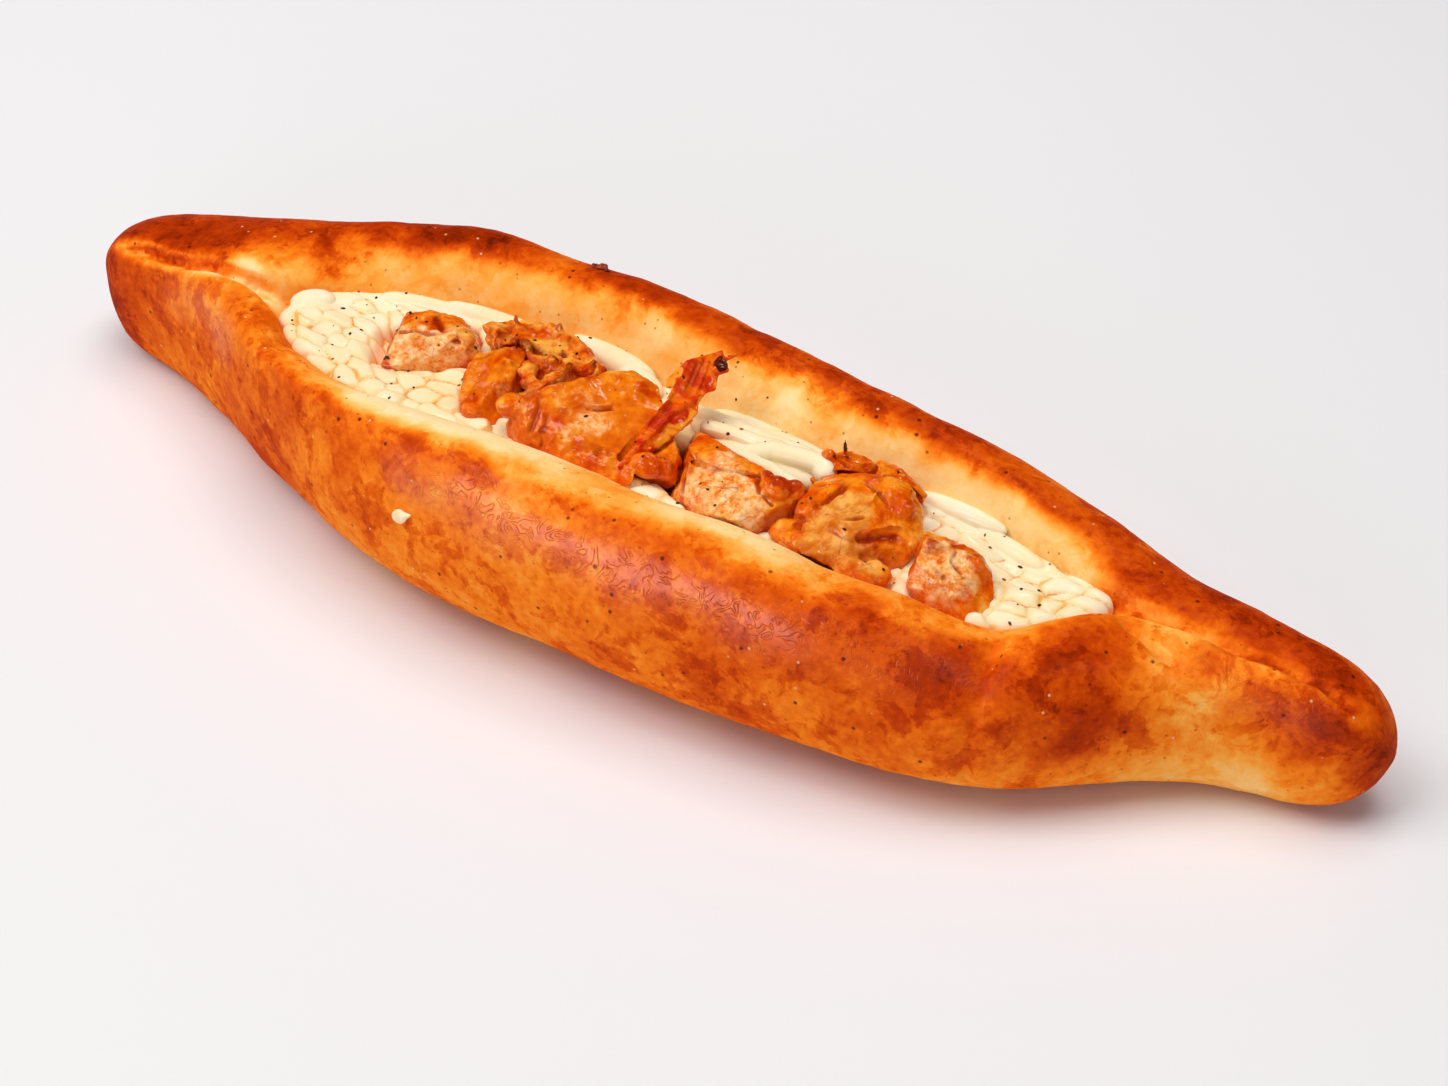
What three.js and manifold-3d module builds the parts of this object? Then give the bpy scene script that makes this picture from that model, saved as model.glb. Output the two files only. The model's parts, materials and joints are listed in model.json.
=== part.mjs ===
// A boat-shaped baked flatbread: its long sides are rolled up round a trough and its ends are pinched shut.
// The trough holds melted cheese, set with pieces of grilled chicken, onion and red pepper.
// Units are millimetres. X runs along the bread, -Y is its front, +Z is up, and it rests on z = 0.
import * as THREE from "three";
import { mergeVertices } from "three/addons/utils/BufferGeometryUtils.js";
import Module from "manifold-3d";

const wasm = await Module();
wasm.setup();

// Driving dimensions
const TIP_LEFT = -124;
const TIP_RIGHT = 119.5;
const LEFT_TIP_ROUND = 18;
const RIGHT_TIP_ROUND = 15;
const BASE_THICKNESS = 8;
const FIT_GAP = 0.35;
const STATION_STEP = 4.4;

// Shape of a cross-section: shares of its height or depth
const SIDE_SHARE = 0.44;
const SHOULDER_SHARE = 0.5;
const WALL_FOOT_SHARE = 0.12;
const TIP_CENTRE_SHARE = 0.46;

// How square a curve is: 2 is an ellipse
const LOWER_SIDE_POWER = 2.1;
const UPPER_SIDE_POWER = 2.2;
const INNER_SIDE_POWER = 2;
const LEFT_TIP_POWER = 2.2;
const RIGHT_TIP_POWER = 2;

// Points round one half of a cross-section
const FLOOR_POINTS = 3;
const LOWER_POINTS = 4;
const UPPER_POINTS = 7;
const INNER_POINTS = 5;
const WALL_POINTS = 2;
const TROUGH_POINTS = 2;

// Smooth curve through [x, value] pairs that never swings past them
function profile(points) {
  const slopes = points.slice(1).map(([x, v], i) => (v - points[i][1]) / (x - points[i][0]));
  const tangents = points.map((_, i) => {
    if (i === 0 || i === points.length - 1) return 0;
    const [before, after] = [slopes[i - 1], slopes[i]];
    return before * after <= 0 ? 0 : (2 * before * after) / (before + after);
  });
  return (x) => {
    const last = points.length - 1;
    if (x <= points[0][0]) return points[0][1];
    if (x >= points[last][0]) return points[last][1];
    const i = points.findIndex(([px]) => px > x) - 1;
    const span = points[i + 1][0] - points[i][0];
    const t = (x - points[i][0]) / span;
    const rise = t * t * (3 - 2 * t);
    return (
      points[i][1] * (1 - rise) +
      points[i + 1][1] * rise +
      span * (tangents[i] * t * (1 - t) ** 2 - tangents[i + 1] * t * t * (1 - t))
    );
  };
}

// Plan of the bread: outer edges, the crests of the two rolls, and the inner walls of the opening
const frontEdge = profile([
  [-110, 2], [-102, -0.6], [-95, -3], [-86, -8], [-76, -14.5], [-66, -19.3], [-50, -27], [-32, -32.3],
  [-8, -34.5], [23, -35], [47, -33], [61, -30], [75, -22.5], [88, -11.6], [96, -7.1], [108, -4.4],
]);
const backEdge = profile([
  [-108, 25], [-98, 25], [-88, 26.2], [-76, 29.3], [-58, 33.3], [-34, 34.8],
  [-8, 31.8], [18, 29.4], [40, 26.9], [56, 25.8], [68, 22.2], [80, 19.8], [92, 17.7], [108, 15],
]);
const frontCrest = profile([
  [-106, 4], [-96, 0], [-84, -5], [-72, -14], [-58, -21], [-34, -24], [0, -25],
  [35, -24], [56, -19.8], [68, -13.3], [80, -5.3], [100, -2],
]);
const backCrest = profile([
  [-106, 13], [-86, 13.5], [-70, 19.5], [-50, 23], [-20, 22.8], [10, 20],
  [35, 16.8], [56, 13], [70, 9.5], [85, 7], [106, 6],
]);
const frontWall = profile([
  [-106, 4.5], [-96, 2.5], [-84, 0.6], [-77, -1.5], [-70, -6.5], [-60, -10.5], [-45, -12.5], [-5, -12.5],
  [15, -13], [50, -12.5], [60, -11], [68, -7.5], [74, -2], [80, 0.4],
]);
const backWall = profile([
  [-106, 6], [-96, 4.2], [-84, 2.4], [-77, 4], [-70, 8.5], [-60, 12.5], [-45, 14.5], [-25, 14.5], [-5, 11],
  [15, 8.8], [35, 9], [50, 7.5], [60, 6], [68, 4], [74, 2.6], [80, 1.9],
]);

// Share of the half width that lies flat on the floor: the pinched ends are rounder than the body
const flatShare = profile([[-108, 0.2], [-80, 0.36], [-45, 0.5], [45, 0.5], [80, 0.36], [108, 0.2]]);

// Heights: the crests, how deep the trough or the pinched seam is below the lower crest, and the cheese
const frontHeight = profile([
  [-116, 25], [-106, 26], [-96, 27.6], [-84, 29.3], [-70, 31], [-50, 33], [-20, 34.5], [10, 34], [35, 32],
  [54, 29.5], [63, 27.3], [71, 28.6], [80, 27], [92, 25.3], [108, 24],
]);
const backHeight = profile([
  [-116, 25.3], [-106, 27.2], [-96, 29.5], [-84, 31.8], [-70, 34], [-50, 35.5], [-20, 36], [10, 35], [35, 33],
  [56, 30.5], [70, 28.5], [85, 26.5], [108, 24.5],
]);
const seamDepth = profile([
  [-112, 0.1], [-102, 1.2], [-92, 2.2], [-84, 2.6], [-77, 7], [-70, 16], [-60, 23], [-20, 26], [35, 24],
  [60, 19], [68, 14], [74, 6], [80, 2.4], [98, 1.5], [112, 0.2],
]);
const cheeseLevel = profile([
  [-80, 26.8], [-60, 27], [-30, 27.4], [0, 26.6], [35, 25.6], [60, 24.6], [76, 24.8],
]);

const lowerCrest = (x) => Math.min(frontHeight(x), backHeight(x));
const troughFloor = (x) => Math.max(lowerCrest(x) - seamDepth(x), BASE_THICKNESS);
const middle = (x) => (frontWall(x) + backWall(x)) / 2;

const smooth = (from, to, v) => THREE.MathUtils.smoothstep(v, from, to);
const bell = (v, width) => Math.exp(-((v / width) ** 2));

// count values evenly spaced after from, the last of them at to
function stepsTo(from, to, count) {
  return Array.from({ length: count }, (_, i) => from + ((to - from) * (i + 1)) / count);
}

// Quarter of a rounded square between (y0, z0) and (y1, z1), setting out along Y or along Z
function quarter(y0, z0, y1, z1, power, count, alongYFirst) {
  return stepsTo(0, Math.PI / 2, count).map((angle) => {
    const early = Math.sin(angle) ** (2 / power);
    const late = 1 - Math.cos(angle) ** (2 / power);
    const [ty, tz] = alongYFirst ? [early, late] : [late, early];
    return [y0 + (y1 - y0) * ty, z0 + (z1 - z0) * tz];
  });
}

// One half of the section at x, from the middle of the underside round the roll to the middle of the trough
function halfSection(x, edge, crest, height, wall) {
  const floor = troughFloor(x);
  const depth = height - floor;
  const side = height * SIDE_SHARE;
  const shoulder = height - depth * SHOULDER_SHARE;
  const wallFoot = floor + depth * WALL_FOOT_SHARE;
  const flat = middle(x) + (edge - middle(x)) * flatShare(x);
  return [
    ...stepsTo(middle(x), flat, FLOOR_POINTS).map((y) => [y, 0]),
    ...quarter(flat, 0, edge, side, LOWER_SIDE_POWER, LOWER_POINTS, true),
    ...quarter(edge, side, crest, height, UPPER_SIDE_POWER, UPPER_POINTS, false),
    ...quarter(crest, height, wall, shoulder, INNER_SIDE_POWER, INNER_POINTS, true),
    ...stepsTo(shoulder, wallFoot, WALL_POINTS).map((z) => [wall, z]),
    ...stepsTo(wall, middle(x), TROUGH_POINTS + 1).slice(0, TROUGH_POINTS).map((y) => [y, floor]),
  ];
}

// Creases where two folds of dough meet, each a groove along a line in plan that fades out at a height
const CREASES = [
  { from: [64.4, -15], to: [65, -40], width: 1.2, depth: 1, above: 5 },
  { from: [77, 1], to: [87, -5.5], width: 1.5, depth: 1.2, above: 15 },
  { from: [-0.5, 27], to: [2, 12], width: 1.6, depth: 0.7, above: 28 },
  { from: [-68.5, -10], to: [-66, -24], width: 2.2, depth: 0.7, above: 24 },
];
const CREASE_FADE = 3;

// Low swells of the hand-rolled skin: height, and radians per millimetre along X, Y and Z
const SWELLS = [
  { height: 0.3, along: [0.13, 0.09, 0.17], phase: 0.8 },
  { height: 0.25, along: [0.21, -0.12, 0], phase: 2.1 },
  { height: 0.2, along: [-0.23, 0, 0.31], phase: 4 },
];
const RELIEF_FROM_HEIGHT = 1;
const RELIEF_FULL_HEIGHT = 8;

function distanceToSegment(x, y, [x0, y0], [x1, y1]) {
  const [dx, dy] = [x1 - x0, y1 - y0];
  const t = THREE.MathUtils.clamp(((x - x0) * dx + (y - y0) * dy) / (dx * dx + dy * dy), 0, 1);
  return Math.hypot(x - x0 - t * dx, y - y0 - t * dy);
}

// How far the skin stands out from the smooth form at a point of the outer side
function skinRelief(x, y, z) {
  let push = 0;
  for (const { height, along, phase } of SWELLS) {
    push += height * Math.sin(along[0] * x + along[1] * y + along[2] * z + phase);
  }
  for (const { from, to, width, depth, above } of CREASES) {
    push -= depth * bell(distanceToSegment(x, y, from, to), width) * smooth(above - CREASE_FADE, above, z);
  }
  return push * smooth(RELIEF_FROM_HEIGHT, RELIEF_FULL_HEIGHT, z);
}

// How far a pinched end's section has shrunk towards its tip, from 1 to 0
function roundOff(inside, length, power) {
  const t = Math.max(1 - inside / length, 0);
  return Math.max(1 - t ** power, 0) ** (1 / power);
}

function tipScale(x) {
  const left = roundOff(x - TIP_LEFT, LEFT_TIP_ROUND, LEFT_TIP_POWER);
  const right = roundOff(TIP_RIGHT - x, RIGHT_TIP_ROUND, RIGHT_TIP_POWER);
  return left * right;
}

// Where that section shrinks to: the middle of its width and a little below half its height
const tipCentre = (x) => [(frontEdge(x) + backEdge(x)) / 2, lowerCrest(x) * TIP_CENTRE_SHARE];

// The whole section at x as a ring, back half first, so that the loft's faces point out.
// grow thickens the two rolls into the opening.
function breadSection(x, grow) {
  const front = halfSection(x, frontEdge(x), frontCrest(x), frontHeight(x) + grow, frontWall(x) + grow);
  const back = halfSection(x, backEdge(x), backCrest(x), backHeight(x) + grow, backWall(x) - grow);
  const ring = [[middle(x), 0], ...back, [middle(x), troughFloor(x)], ...front.reverse()];
  const lastOuter = FLOOR_POINTS + LOWER_POINTS + UPPER_POINTS + INNER_POINTS - 2;
  const scale = tipScale(x);
  const [cy, cz] = tipCentre(x);
  return ring.map(([y, z], i) => {
    const fromSole = Math.min(i, ring.length - i);
    const [py, pz] = ring[(i + ring.length - 1) % ring.length];
    const [ny, nz] = ring[(i + 1) % ring.length];
    const length = Math.hypot(ny - py, nz - pz) || 1;
    const push = fromSole > FLOOR_POINTS && fromSole <= lastOuter ? skinRelief(x, y, z) : 0;
    const [outY, outZ] = [y + ((nz - pz) / length) * push, z - ((ny - py) / length) * push];
    return [cy + (outY - cy) * scale, cz + (outZ - cz) * scale];
  });
}

// Closed surface through rings of equal count, each a list of [y, z] at its x, shut by a point at either end
function loft(xs, rings, startPoint, endPoint) {
  const count = rings[0].length;
  const positions = rings.flatMap((ring, i) => ring.flatMap(([y, z]) => [xs[i], y, z]));
  const start = positions.length / 3;
  positions.push(...startPoint, ...endPoint);
  const index = [];
  for (let i = 0; i < rings.length - 1; i++) {
    for (let j = 0; j < count; j++) {
      const [a, b] = [i * count + j, i * count + ((j + 1) % count)];
      const [c, d] = [a + count, b + count];
      index.push(a, b, d, a, d, c);
    }
  }
  const lastRing = (rings.length - 1) * count;
  for (let j = 0; j < count; j++) {
    const next = (j + 1) % count;
    index.push(start, next, j);
    index.push(start + 1, lastRing + j, lastRing + next);
  }
  const geometry = new THREE.BufferGeometry();
  geometry.setAttribute("position", new THREE.Float32BufferAttribute(positions, 3));
  geometry.setIndex(index);
  return geometry;
}

// Stations along the bread: even, but closer at the rounded tips and on both sides of the deepest crease
const TIP_STATIONS = [0.025, 0.1, 0.22, 0.38, 0.57, 0.78];
const CREASE_STATIONS = [-2.2, -0.9, 0.4, 1.7, 3];

function breadStations() {
  const [from, to] = [TIP_LEFT + LEFT_TIP_ROUND, TIP_RIGHT - RIGHT_TIP_ROUND];
  const even = [from, ...stepsTo(from, to, Math.round((to - from) / STATION_STEP))];
  const crease = CREASES[0].from[0];
  return [
    ...TIP_STATIONS.map((t) => TIP_LEFT + t * LEFT_TIP_ROUND),
    ...even.filter((x) => Math.abs(x - crease) > STATION_STEP),
    ...CREASE_STATIONS.map((offset) => crease + offset),
    ...TIP_STATIONS.map((t) => TIP_RIGHT - t * RIGHT_TIP_ROUND),
  ].sort((a, b) => a - b);
}

function breadGeometry(grow) {
  const xs = breadStations();
  const sections = xs.map((x) => breadSection(x, grow));
  return loft(xs, sections, [TIP_LEFT, ...tipCentre(TIP_LEFT)], [TIP_RIGHT, ...tipCentre(TIP_RIGHT)]);
}

// Solids are joined and cut as manifolds
function solidOf(geometry) {
  const bare = new THREE.BufferGeometry();
  bare.setAttribute("position", geometry.getAttribute("position"));
  if (geometry.index) bare.setIndex(geometry.index);
  const merged = mergeVertices(bare, 1e-4);
  return new wasm.Manifold(
    new wasm.Mesh({
      numProp: 3,
      vertProperties: new Float32Array(merged.getAttribute("position").array),
      triVerts: new Uint32Array(merged.index.array),
    }),
  );
}

function geometryOf(solid) {
  const mesh = solid.getMesh();
  const geometry = new THREE.BufferGeometry();
  geometry.setAttribute("position", new THREE.BufferAttribute(new Float32Array(mesh.vertProperties), 3));
  geometry.setIndex(new THREE.BufferAttribute(new Uint32Array(mesh.triVerts), 1));
  return geometry;
}

// Sesame seed stuck to the front crust: a flat drop, pointed at one end
const SEED_LENGTH = 3.5;
const SEED_WIDTH = 2.1;
const SEED_THICKNESS = 1.2;
const SEED_TAPER = 0.45;
const SEED_X = -31;
const SEED_HEIGHT = 21.5;
const SEED_LIFT = 0.25;
const SEED_TURN = THREE.MathUtils.degToRad(35);

// Point of the front crust at x and z, and the direction that the crust faces there
function frontCrustAt(x, z) {
  const ring = breadSection(x, 0);
  const soleToSide = FLOOR_POINTS + LOWER_POINTS;
  const side = ring.slice(ring.length - soleToSide - UPPER_POINTS, ring.length - soleToSide + 1);
  const i = side.findIndex((p, j) => j + 1 < side.length && p[1] >= z && side[j + 1][1] < z);
  const [[y0, z0], [y1, z1]] = [side[i], side[i + 1]];
  const point = new THREE.Vector3(x, y0 + ((y1 - y0) * (z - z0)) / (z1 - z0), z);
  const normal = new THREE.Vector3(0, -Math.abs(z1 - z0), Math.abs(y1 - y0)).normalize();
  return { point, normal };
}

function seedGeometry() {
  const geometry = new THREE.IcosahedronGeometry(1, 1);
  const { point, normal } = frontCrustAt(SEED_X, SEED_HEIGHT);
  point.addScaledVector(normal, SEED_LIFT);
  const turn = new THREE.Quaternion().setFromAxisAngle(new THREE.Vector3(0, 0, 1), SEED_TURN);
  turn.premultiply(new THREE.Quaternion().setFromUnitVectors(new THREE.Vector3(0, 0, 1), normal));
  const position = geometry.getAttribute("position");
  const p = new THREE.Vector3();
  for (let i = 0; i < position.count; i++) {
    p.fromBufferAttribute(position, i);
    const width = SEED_WIDTH * (1 - SEED_TAPER * smooth(-0.2, 1, p.x));
    p.set((p.x * SEED_LENGTH) / 2, (p.y * width) / 2, (p.z * SEED_THICKNESS) / 2);
    p.applyQuaternion(turn).add(point);
    position.setXYZ(i, p.x, p.y, p.z);
  }
  return geometry;
}

// Cheese: fills the trough to its level, with the lumps of half-melted shreds on top
const CHEESE_TOP_POINTS = 11;
const CHEESE_WALL_POINTS = 4;
const CHEESE_FROM = -77.5;
const CHEESE_TO = 75.5;
const CHEESE_FOOT_SHARE = 0.45;
const CHEESE_END_FADE = 6;
const LUMP_HEIGHT = 0.8;
const LUMP_LENGTH = 8.5;
const LUMP_WIDTH = 4.6;
const ROW_SHIFT = 3.7;
const SWELL_HEIGHT = 0.9;

// The two inner sides of the opening at x, each from its crest down to the trough, a gap clear of the bread
function openingSides(x) {
  const ring = breadSection(x, FIT_GAP);
  const crest = FLOOR_POINTS + LOWER_POINTS + UPPER_POINTS;
  const middleOfTrough = ring.length / 2;
  return {
    back: ring.slice(crest, middleOfTrough + 1),
    front: ring.slice(middleOfTrough, ring.length - crest + 1).reverse(),
  };
}

// Y of an inner side at height z
function sideAt(side, z) {
  const i = side.findIndex(([, top], k) => k + 1 < side.length && top >= z && side[k + 1][1] < z);
  const [[y0, z0], [y1, z1]] = [side[i], side[i + 1]];
  return y0 + ((y1 - y0) * (z - z0)) / (z1 - z0);
}

// Rows of shreds that lie askew in the trough, each row shifted along from the last, over a slow swell
function cheeseLumps(x, y) {
  const along = x + 0.55 * y;
  const across = y - 0.3 * x;
  const row = Math.floor(across / LUMP_WIDTH + 0.5);
  const shreds = Math.cos((2 * Math.PI * (along + ROW_SHIFT * row)) / LUMP_LENGTH) / 2;
  const ribs = Math.cos((2 * Math.PI * across) / LUMP_WIDTH) / 2;
  const swell = SWELL_HEIGHT * Math.sin(0.12 * x + 0.5) * Math.cos(0.16 * y + 0.03 * x);
  return LUMP_HEIGHT * (shreds + ribs) + swell;
}

function cheeseSection(x) {
  const level = cheeseLevel(x);
  const floor = troughFloor(x) + FIT_GAP;
  const knee = Math.max((floor + level) / 2, lowerCrest(x) - seamDepth(x) * SHOULDER_SHARE);
  const heights = [knee, ...stepsTo(knee, level, CHEESE_WALL_POINTS).slice(0, -1)];
  const { back, front } = openingSides(x);
  const wallOf = (side, wall) => [
    [wall + (middle(x) - wall) * CHEESE_FOOT_SHARE, floor],
    ...heights.map((z) => [sideAt(side, z), z]),
  ];
  const [near, far] = [sideAt(front, level), sideAt(back, level)];
  const endFade = smooth(0, CHEESE_END_FADE, Math.min(x - CHEESE_FROM, CHEESE_TO - x));
  const top = Array.from({ length: CHEESE_TOP_POINTS }, (_, i) => {
    const t = i / (CHEESE_TOP_POINTS - 1);
    const y = far + (near - far) * t;
    const edgeFade = Math.sqrt(Math.max(Math.sin(Math.PI * t), 0));
    return [y, level + edgeFade * endFade * cheeseLumps(x, y)];
  });
  return [
    [middle(x), floor],
    ...wallOf(back, backWall(x)),
    ...top,
    ...wallOf(front, frontWall(x)).reverse(),
  ];
}

function cheeseGeometry() {
  const xs = breadStations().filter((x) => x > CHEESE_FROM && x < CHEESE_TO);
  const endPoint = (x) => [x, middle(x), (troughFloor(x) + FIT_GAP + cheeseLevel(x)) / 2];
  return loft(xs, xs.map(cheeseSection), endPoint(xs[0]), endPoint(xs[xs.length - 1]));
}

// Filling: chopped pieces, each a block bounded by its own uneven flat cuts.
// size is length, width and height; turn is the compass turn and lean the tilts about X and Y, in degrees.
const PIECES = [
  { name: "chicken_1", at: [-48.5, 1.5, 27.5], size: [20, 12.5, 10], turn: 24, lean: [-12, 0], seed: 3 },
  { name: "chicken_2", at: [-32.5, -3.5, 28], size: [9, 15, 11], turn: 14, lean: [14, -10], seed: 8 },
  { name: "onion_1", at: [-26, 5.5, 28.6], size: [19, 11, 10], turn: -16, lean: [-8, 6], seed: 5 },
  { name: "chicken_3", at: [-13.5, -4.2, 29.6], size: [27, 16.5, 11.5], turn: 18, lean: [16, 4], seed: 12 },
  { name: "chicken_4", at: [12, -5.5, 27], size: [25.5, 15, 10], turn: -14, lean: [12, 3], seed: 21 },
  { name: "chicken_5", at: [34.2, -4.5, 27.6], size: [19.5, 19, 11.5], turn: 28, lean: [10, 0], seed: 34 },
  { name: "chicken_6", at: [51.6, -7.4, 26.5], size: [12.8, 11.5, 10], turn: 12, lean: [8, 4], seed: 17 },
  { name: "chicken_7", at: [27.5, 4.2, 29], size: [8.5, 6.5, 7], turn: 40, lean: [0, 12], seed: 9 },
  { name: "chicken_8", at: [35, 5.2, 27.4], size: [9.5, 8, 8], turn: -30, lean: [0, -6], seed: 26 },
];
const CUT_TILT = 0.3;
const SIDE_CUT_REACH = [0.92, 1.02];
const CORNER_CUT_REACH = [0.95, 1.15];
const CORNER_CUTS = 6;
const CUT_SHARPNESS = 12;
const FINE_PIECE_LENGTH = 15;

// Repeatable draws from a range
function drawsFrom(seed) {
  let state = seed * 7919 + 17;
  return (low, high) => {
    state = (state * 48271) % 2147483647;
    return low + ((high - low) * state) / 2147483647;
  };
}

// Flat cuts round a piece: six tilted sides and some corners, as directions and distances in a unit block
function flatCuts(seed) {
  const draw = drawsFrom(seed);
  const axes = [[1, 0, 0], [-1, 0, 0], [0, 1, 0], [0, -1, 0], [0, 0, 1], [0, 0, -1]];
  const sides = axes.map((axis) => ({
    normal: new THREE.Vector3(...axis.map((v) => v + draw(-CUT_TILT, CUT_TILT))).normalize(),
    distance: draw(...SIDE_CUT_REACH),
  }));
  const corners = Array.from({ length: CORNER_CUTS }, () => ({
    normal: new THREE.Vector3(draw(-1, 1), draw(-1, 1), draw(-1, 1)).normalize(),
    distance: draw(...CORNER_CUT_REACH),
  }));
  return [...sides, ...corners];
}

function chunkGeometry({ at, size, turn, lean, seed }, grow) {
  const geometry = new THREE.IcosahedronGeometry(1, size[0] > FINE_PIECE_LENGTH ? 3 : 2);
  const position = geometry.getAttribute("position");
  const cuts = flatCuts(seed);
  const p = new THREE.Vector3();
  const angles = [lean[0], lean[1], turn].map(THREE.MathUtils.degToRad);
  const rotation = new THREE.Euler(...angles, "ZYX");
  for (let i = 0; i < position.count; i++) {
    p.fromBufferAttribute(position, i).normalize();
    const nearness = cuts.map((cut) => (Math.max(cut.normal.dot(p), 0) / cut.distance) ** CUT_SHARPNESS);
    const reach = nearness.reduce((sum, v) => sum + v, 0) ** (-1 / CUT_SHARPNESS);
    p.set(...size.map((extent, axis) => p.getComponent(axis) * ((reach * extent) / 2 + grow)));
    p.applyEuler(rotation);
    position.setXYZ(i, p.x + at[0], p.y + at[1], p.z + at[2]);
  }
  return geometry;
}

// Strip of roasted red pepper lying over the end of the largest chicken piece, its far end curled up
const STRIP_WIDTH = 6.4;
const STRIP_THICKNESS = 1.9;
const STRIP_CUP = 1.7;
const STRIP_WAVE = 0.5;
const STRIP_PATH = [[-3.6, -12, 28.3], [-1.8, -8, 31], [0.2, -3, 34.2], [2.2, 2.6, 36.6], [3.8, 7, 39.4]];
const STRIP_FACES = new THREE.Vector3(0.75, -0.35, 0.55);
const STRIP_STEPS = 12;
const STRIP_SIDES = 4;

function stripGeometry(grow) {
  const path = new THREE.CatmullRomCurve3(STRIP_PATH.map((p) => new THREE.Vector3(...p)));
  const geometry = new THREE.BoxGeometry(1, 1, 1, STRIP_STEPS, STRIP_SIDES, 1);
  const position = geometry.getAttribute("position");
  const p = new THREE.Vector3();
  for (let i = 0; i < position.count; i++) {
    p.fromBufferAttribute(position, i);
    const t = p.x + 0.5;
    const along = path.getTangent(t);
    const across = STRIP_FACES.clone().cross(along).normalize();
    const out = along.clone().cross(across);
    const width = STRIP_WIDTH * (0.42 + 0.58 * smooth(0, 0.7, t)) * (1 - 0.35 * smooth(0.75, 1, t));
    const cup = STRIP_CUP * (4 * p.y * p.y - 0.4) * smooth(0.2, 0.9, t);
    const wave = STRIP_WAVE * Math.sin(9 * t + 4 * p.y);
    const depth = p.z * (STRIP_THICKNESS * (1 - 1.1 * p.y * p.y) + 2 * grow) + cup + wave;
    const q = path.getPoint(t);
    q.addScaledVector(across, p.y * (width + 2 * grow));
    q.addScaledVector(out, depth);
    q.addScaledVector(along, p.x * 2 * grow);
    position.setXYZ(i, q.x, q.y, q.z);
  }
  return geometry;
}

// Materials
const finish = (color, roughness) => new THREE.MeshStandardMaterial({ color, roughness, metalness: 0 });
const FINISHES = {
  bread: finish(0xd27a34, 0.45),
  cheese: finish(0xf6e6c0, 0.4),
  chicken: finish(0xd98a3e, 0.5),
  onion: finish(0xc97a36, 0.4),
  pepper: finish(0xb23a14, 0.35),
};

// Assembly: each filling piece is cut clear of the bread and of the pieces placed before it.
// The cheese is cut round them all.
const group = new THREE.Group();
function addNode(name, solid) {
  const mesh = new THREE.Mesh(geometryOf(solid), FINISHES[name.split("_")[0]]);
  mesh.name = name;
  group.add(mesh);
}

const fillings = [
  { name: "pepper_strip", make: (grow) => solidOf(stripGeometry(grow)) },
  ...PIECES.map((piece) => ({ name: piece.name, make: (grow) => solidOf(chunkGeometry(piece, grow)) })),
];

addNode("bread", solidOf(breadGeometry(0)).add(solidOf(seedGeometry())));
const placed = [solidOf(breadGeometry(FIT_GAP))];
let cheese = solidOf(cheeseGeometry());
for (const { name, make } of fillings) {
  addNode(name, placed.reduce((solid, neighbour) => solid.subtract(neighbour), make(0)));
  const grown = make(FIT_GAP);
  placed.push(grown);
  cheese = cheese.subtract(grown);
}
addNode("cheese", cheese);

// The origin is under the middle of the whole bread
const extent = new THREE.Box3().setFromObject(group);
group.position.set(-(extent.min.x + extent.max.x) / 2, -(extent.min.y + extent.max.y) / 2, 0);

export default group;
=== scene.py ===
import json
import math
import random

import bpy
import numpy as np
from mathutils import Euler, Matrix, Vector, noise

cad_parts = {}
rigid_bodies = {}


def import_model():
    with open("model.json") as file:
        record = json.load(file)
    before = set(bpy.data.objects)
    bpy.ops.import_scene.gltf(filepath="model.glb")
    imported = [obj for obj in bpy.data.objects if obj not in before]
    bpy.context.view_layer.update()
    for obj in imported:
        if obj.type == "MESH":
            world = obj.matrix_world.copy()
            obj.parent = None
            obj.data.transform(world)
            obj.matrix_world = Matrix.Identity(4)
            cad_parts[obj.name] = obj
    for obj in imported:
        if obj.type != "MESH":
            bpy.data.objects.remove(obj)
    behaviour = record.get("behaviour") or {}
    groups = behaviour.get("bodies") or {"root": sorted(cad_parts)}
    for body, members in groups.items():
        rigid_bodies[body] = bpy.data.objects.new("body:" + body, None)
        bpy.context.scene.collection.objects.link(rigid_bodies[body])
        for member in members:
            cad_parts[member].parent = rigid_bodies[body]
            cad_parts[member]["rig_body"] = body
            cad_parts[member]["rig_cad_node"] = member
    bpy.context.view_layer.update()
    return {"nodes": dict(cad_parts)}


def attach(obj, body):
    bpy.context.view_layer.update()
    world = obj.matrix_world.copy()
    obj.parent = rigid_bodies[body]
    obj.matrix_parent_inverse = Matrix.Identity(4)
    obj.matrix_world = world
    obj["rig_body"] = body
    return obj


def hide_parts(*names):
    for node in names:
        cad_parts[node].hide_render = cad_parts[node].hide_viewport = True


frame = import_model()

# Sizes and places below are millimetres in the frame of the solids. Blender's own unit is the metre.
MM = 0.001

# Grain size and reach of the noise that makes creases wander off their lines
CREASE_WANDER = (4, 0.5)

# Without a seed of its own Blender takes the vector noise from the clock
WANDER_SEED = 5
noise.seed_set(WANDER_SEED)


# Handling pieces

def pick(piece):
    """Makes one piece the only selected one, and active, in object mode."""
    if bpy.context.mode != "OBJECT":
        bpy.ops.object.mode_set(mode="OBJECT")
    bpy.ops.object.select_all(action="DESELECT")
    piece.select_set(True)
    bpy.context.view_layer.objects.active = piece


def edit_all(piece):
    """Opens a piece in edit mode with everything selected."""
    pick(piece)
    bpy.ops.object.mode_set(mode="EDIT")
    bpy.ops.mesh.select_all(action="SELECT")


def close_edit():
    bpy.ops.object.mode_set(mode="OBJECT")


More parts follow.
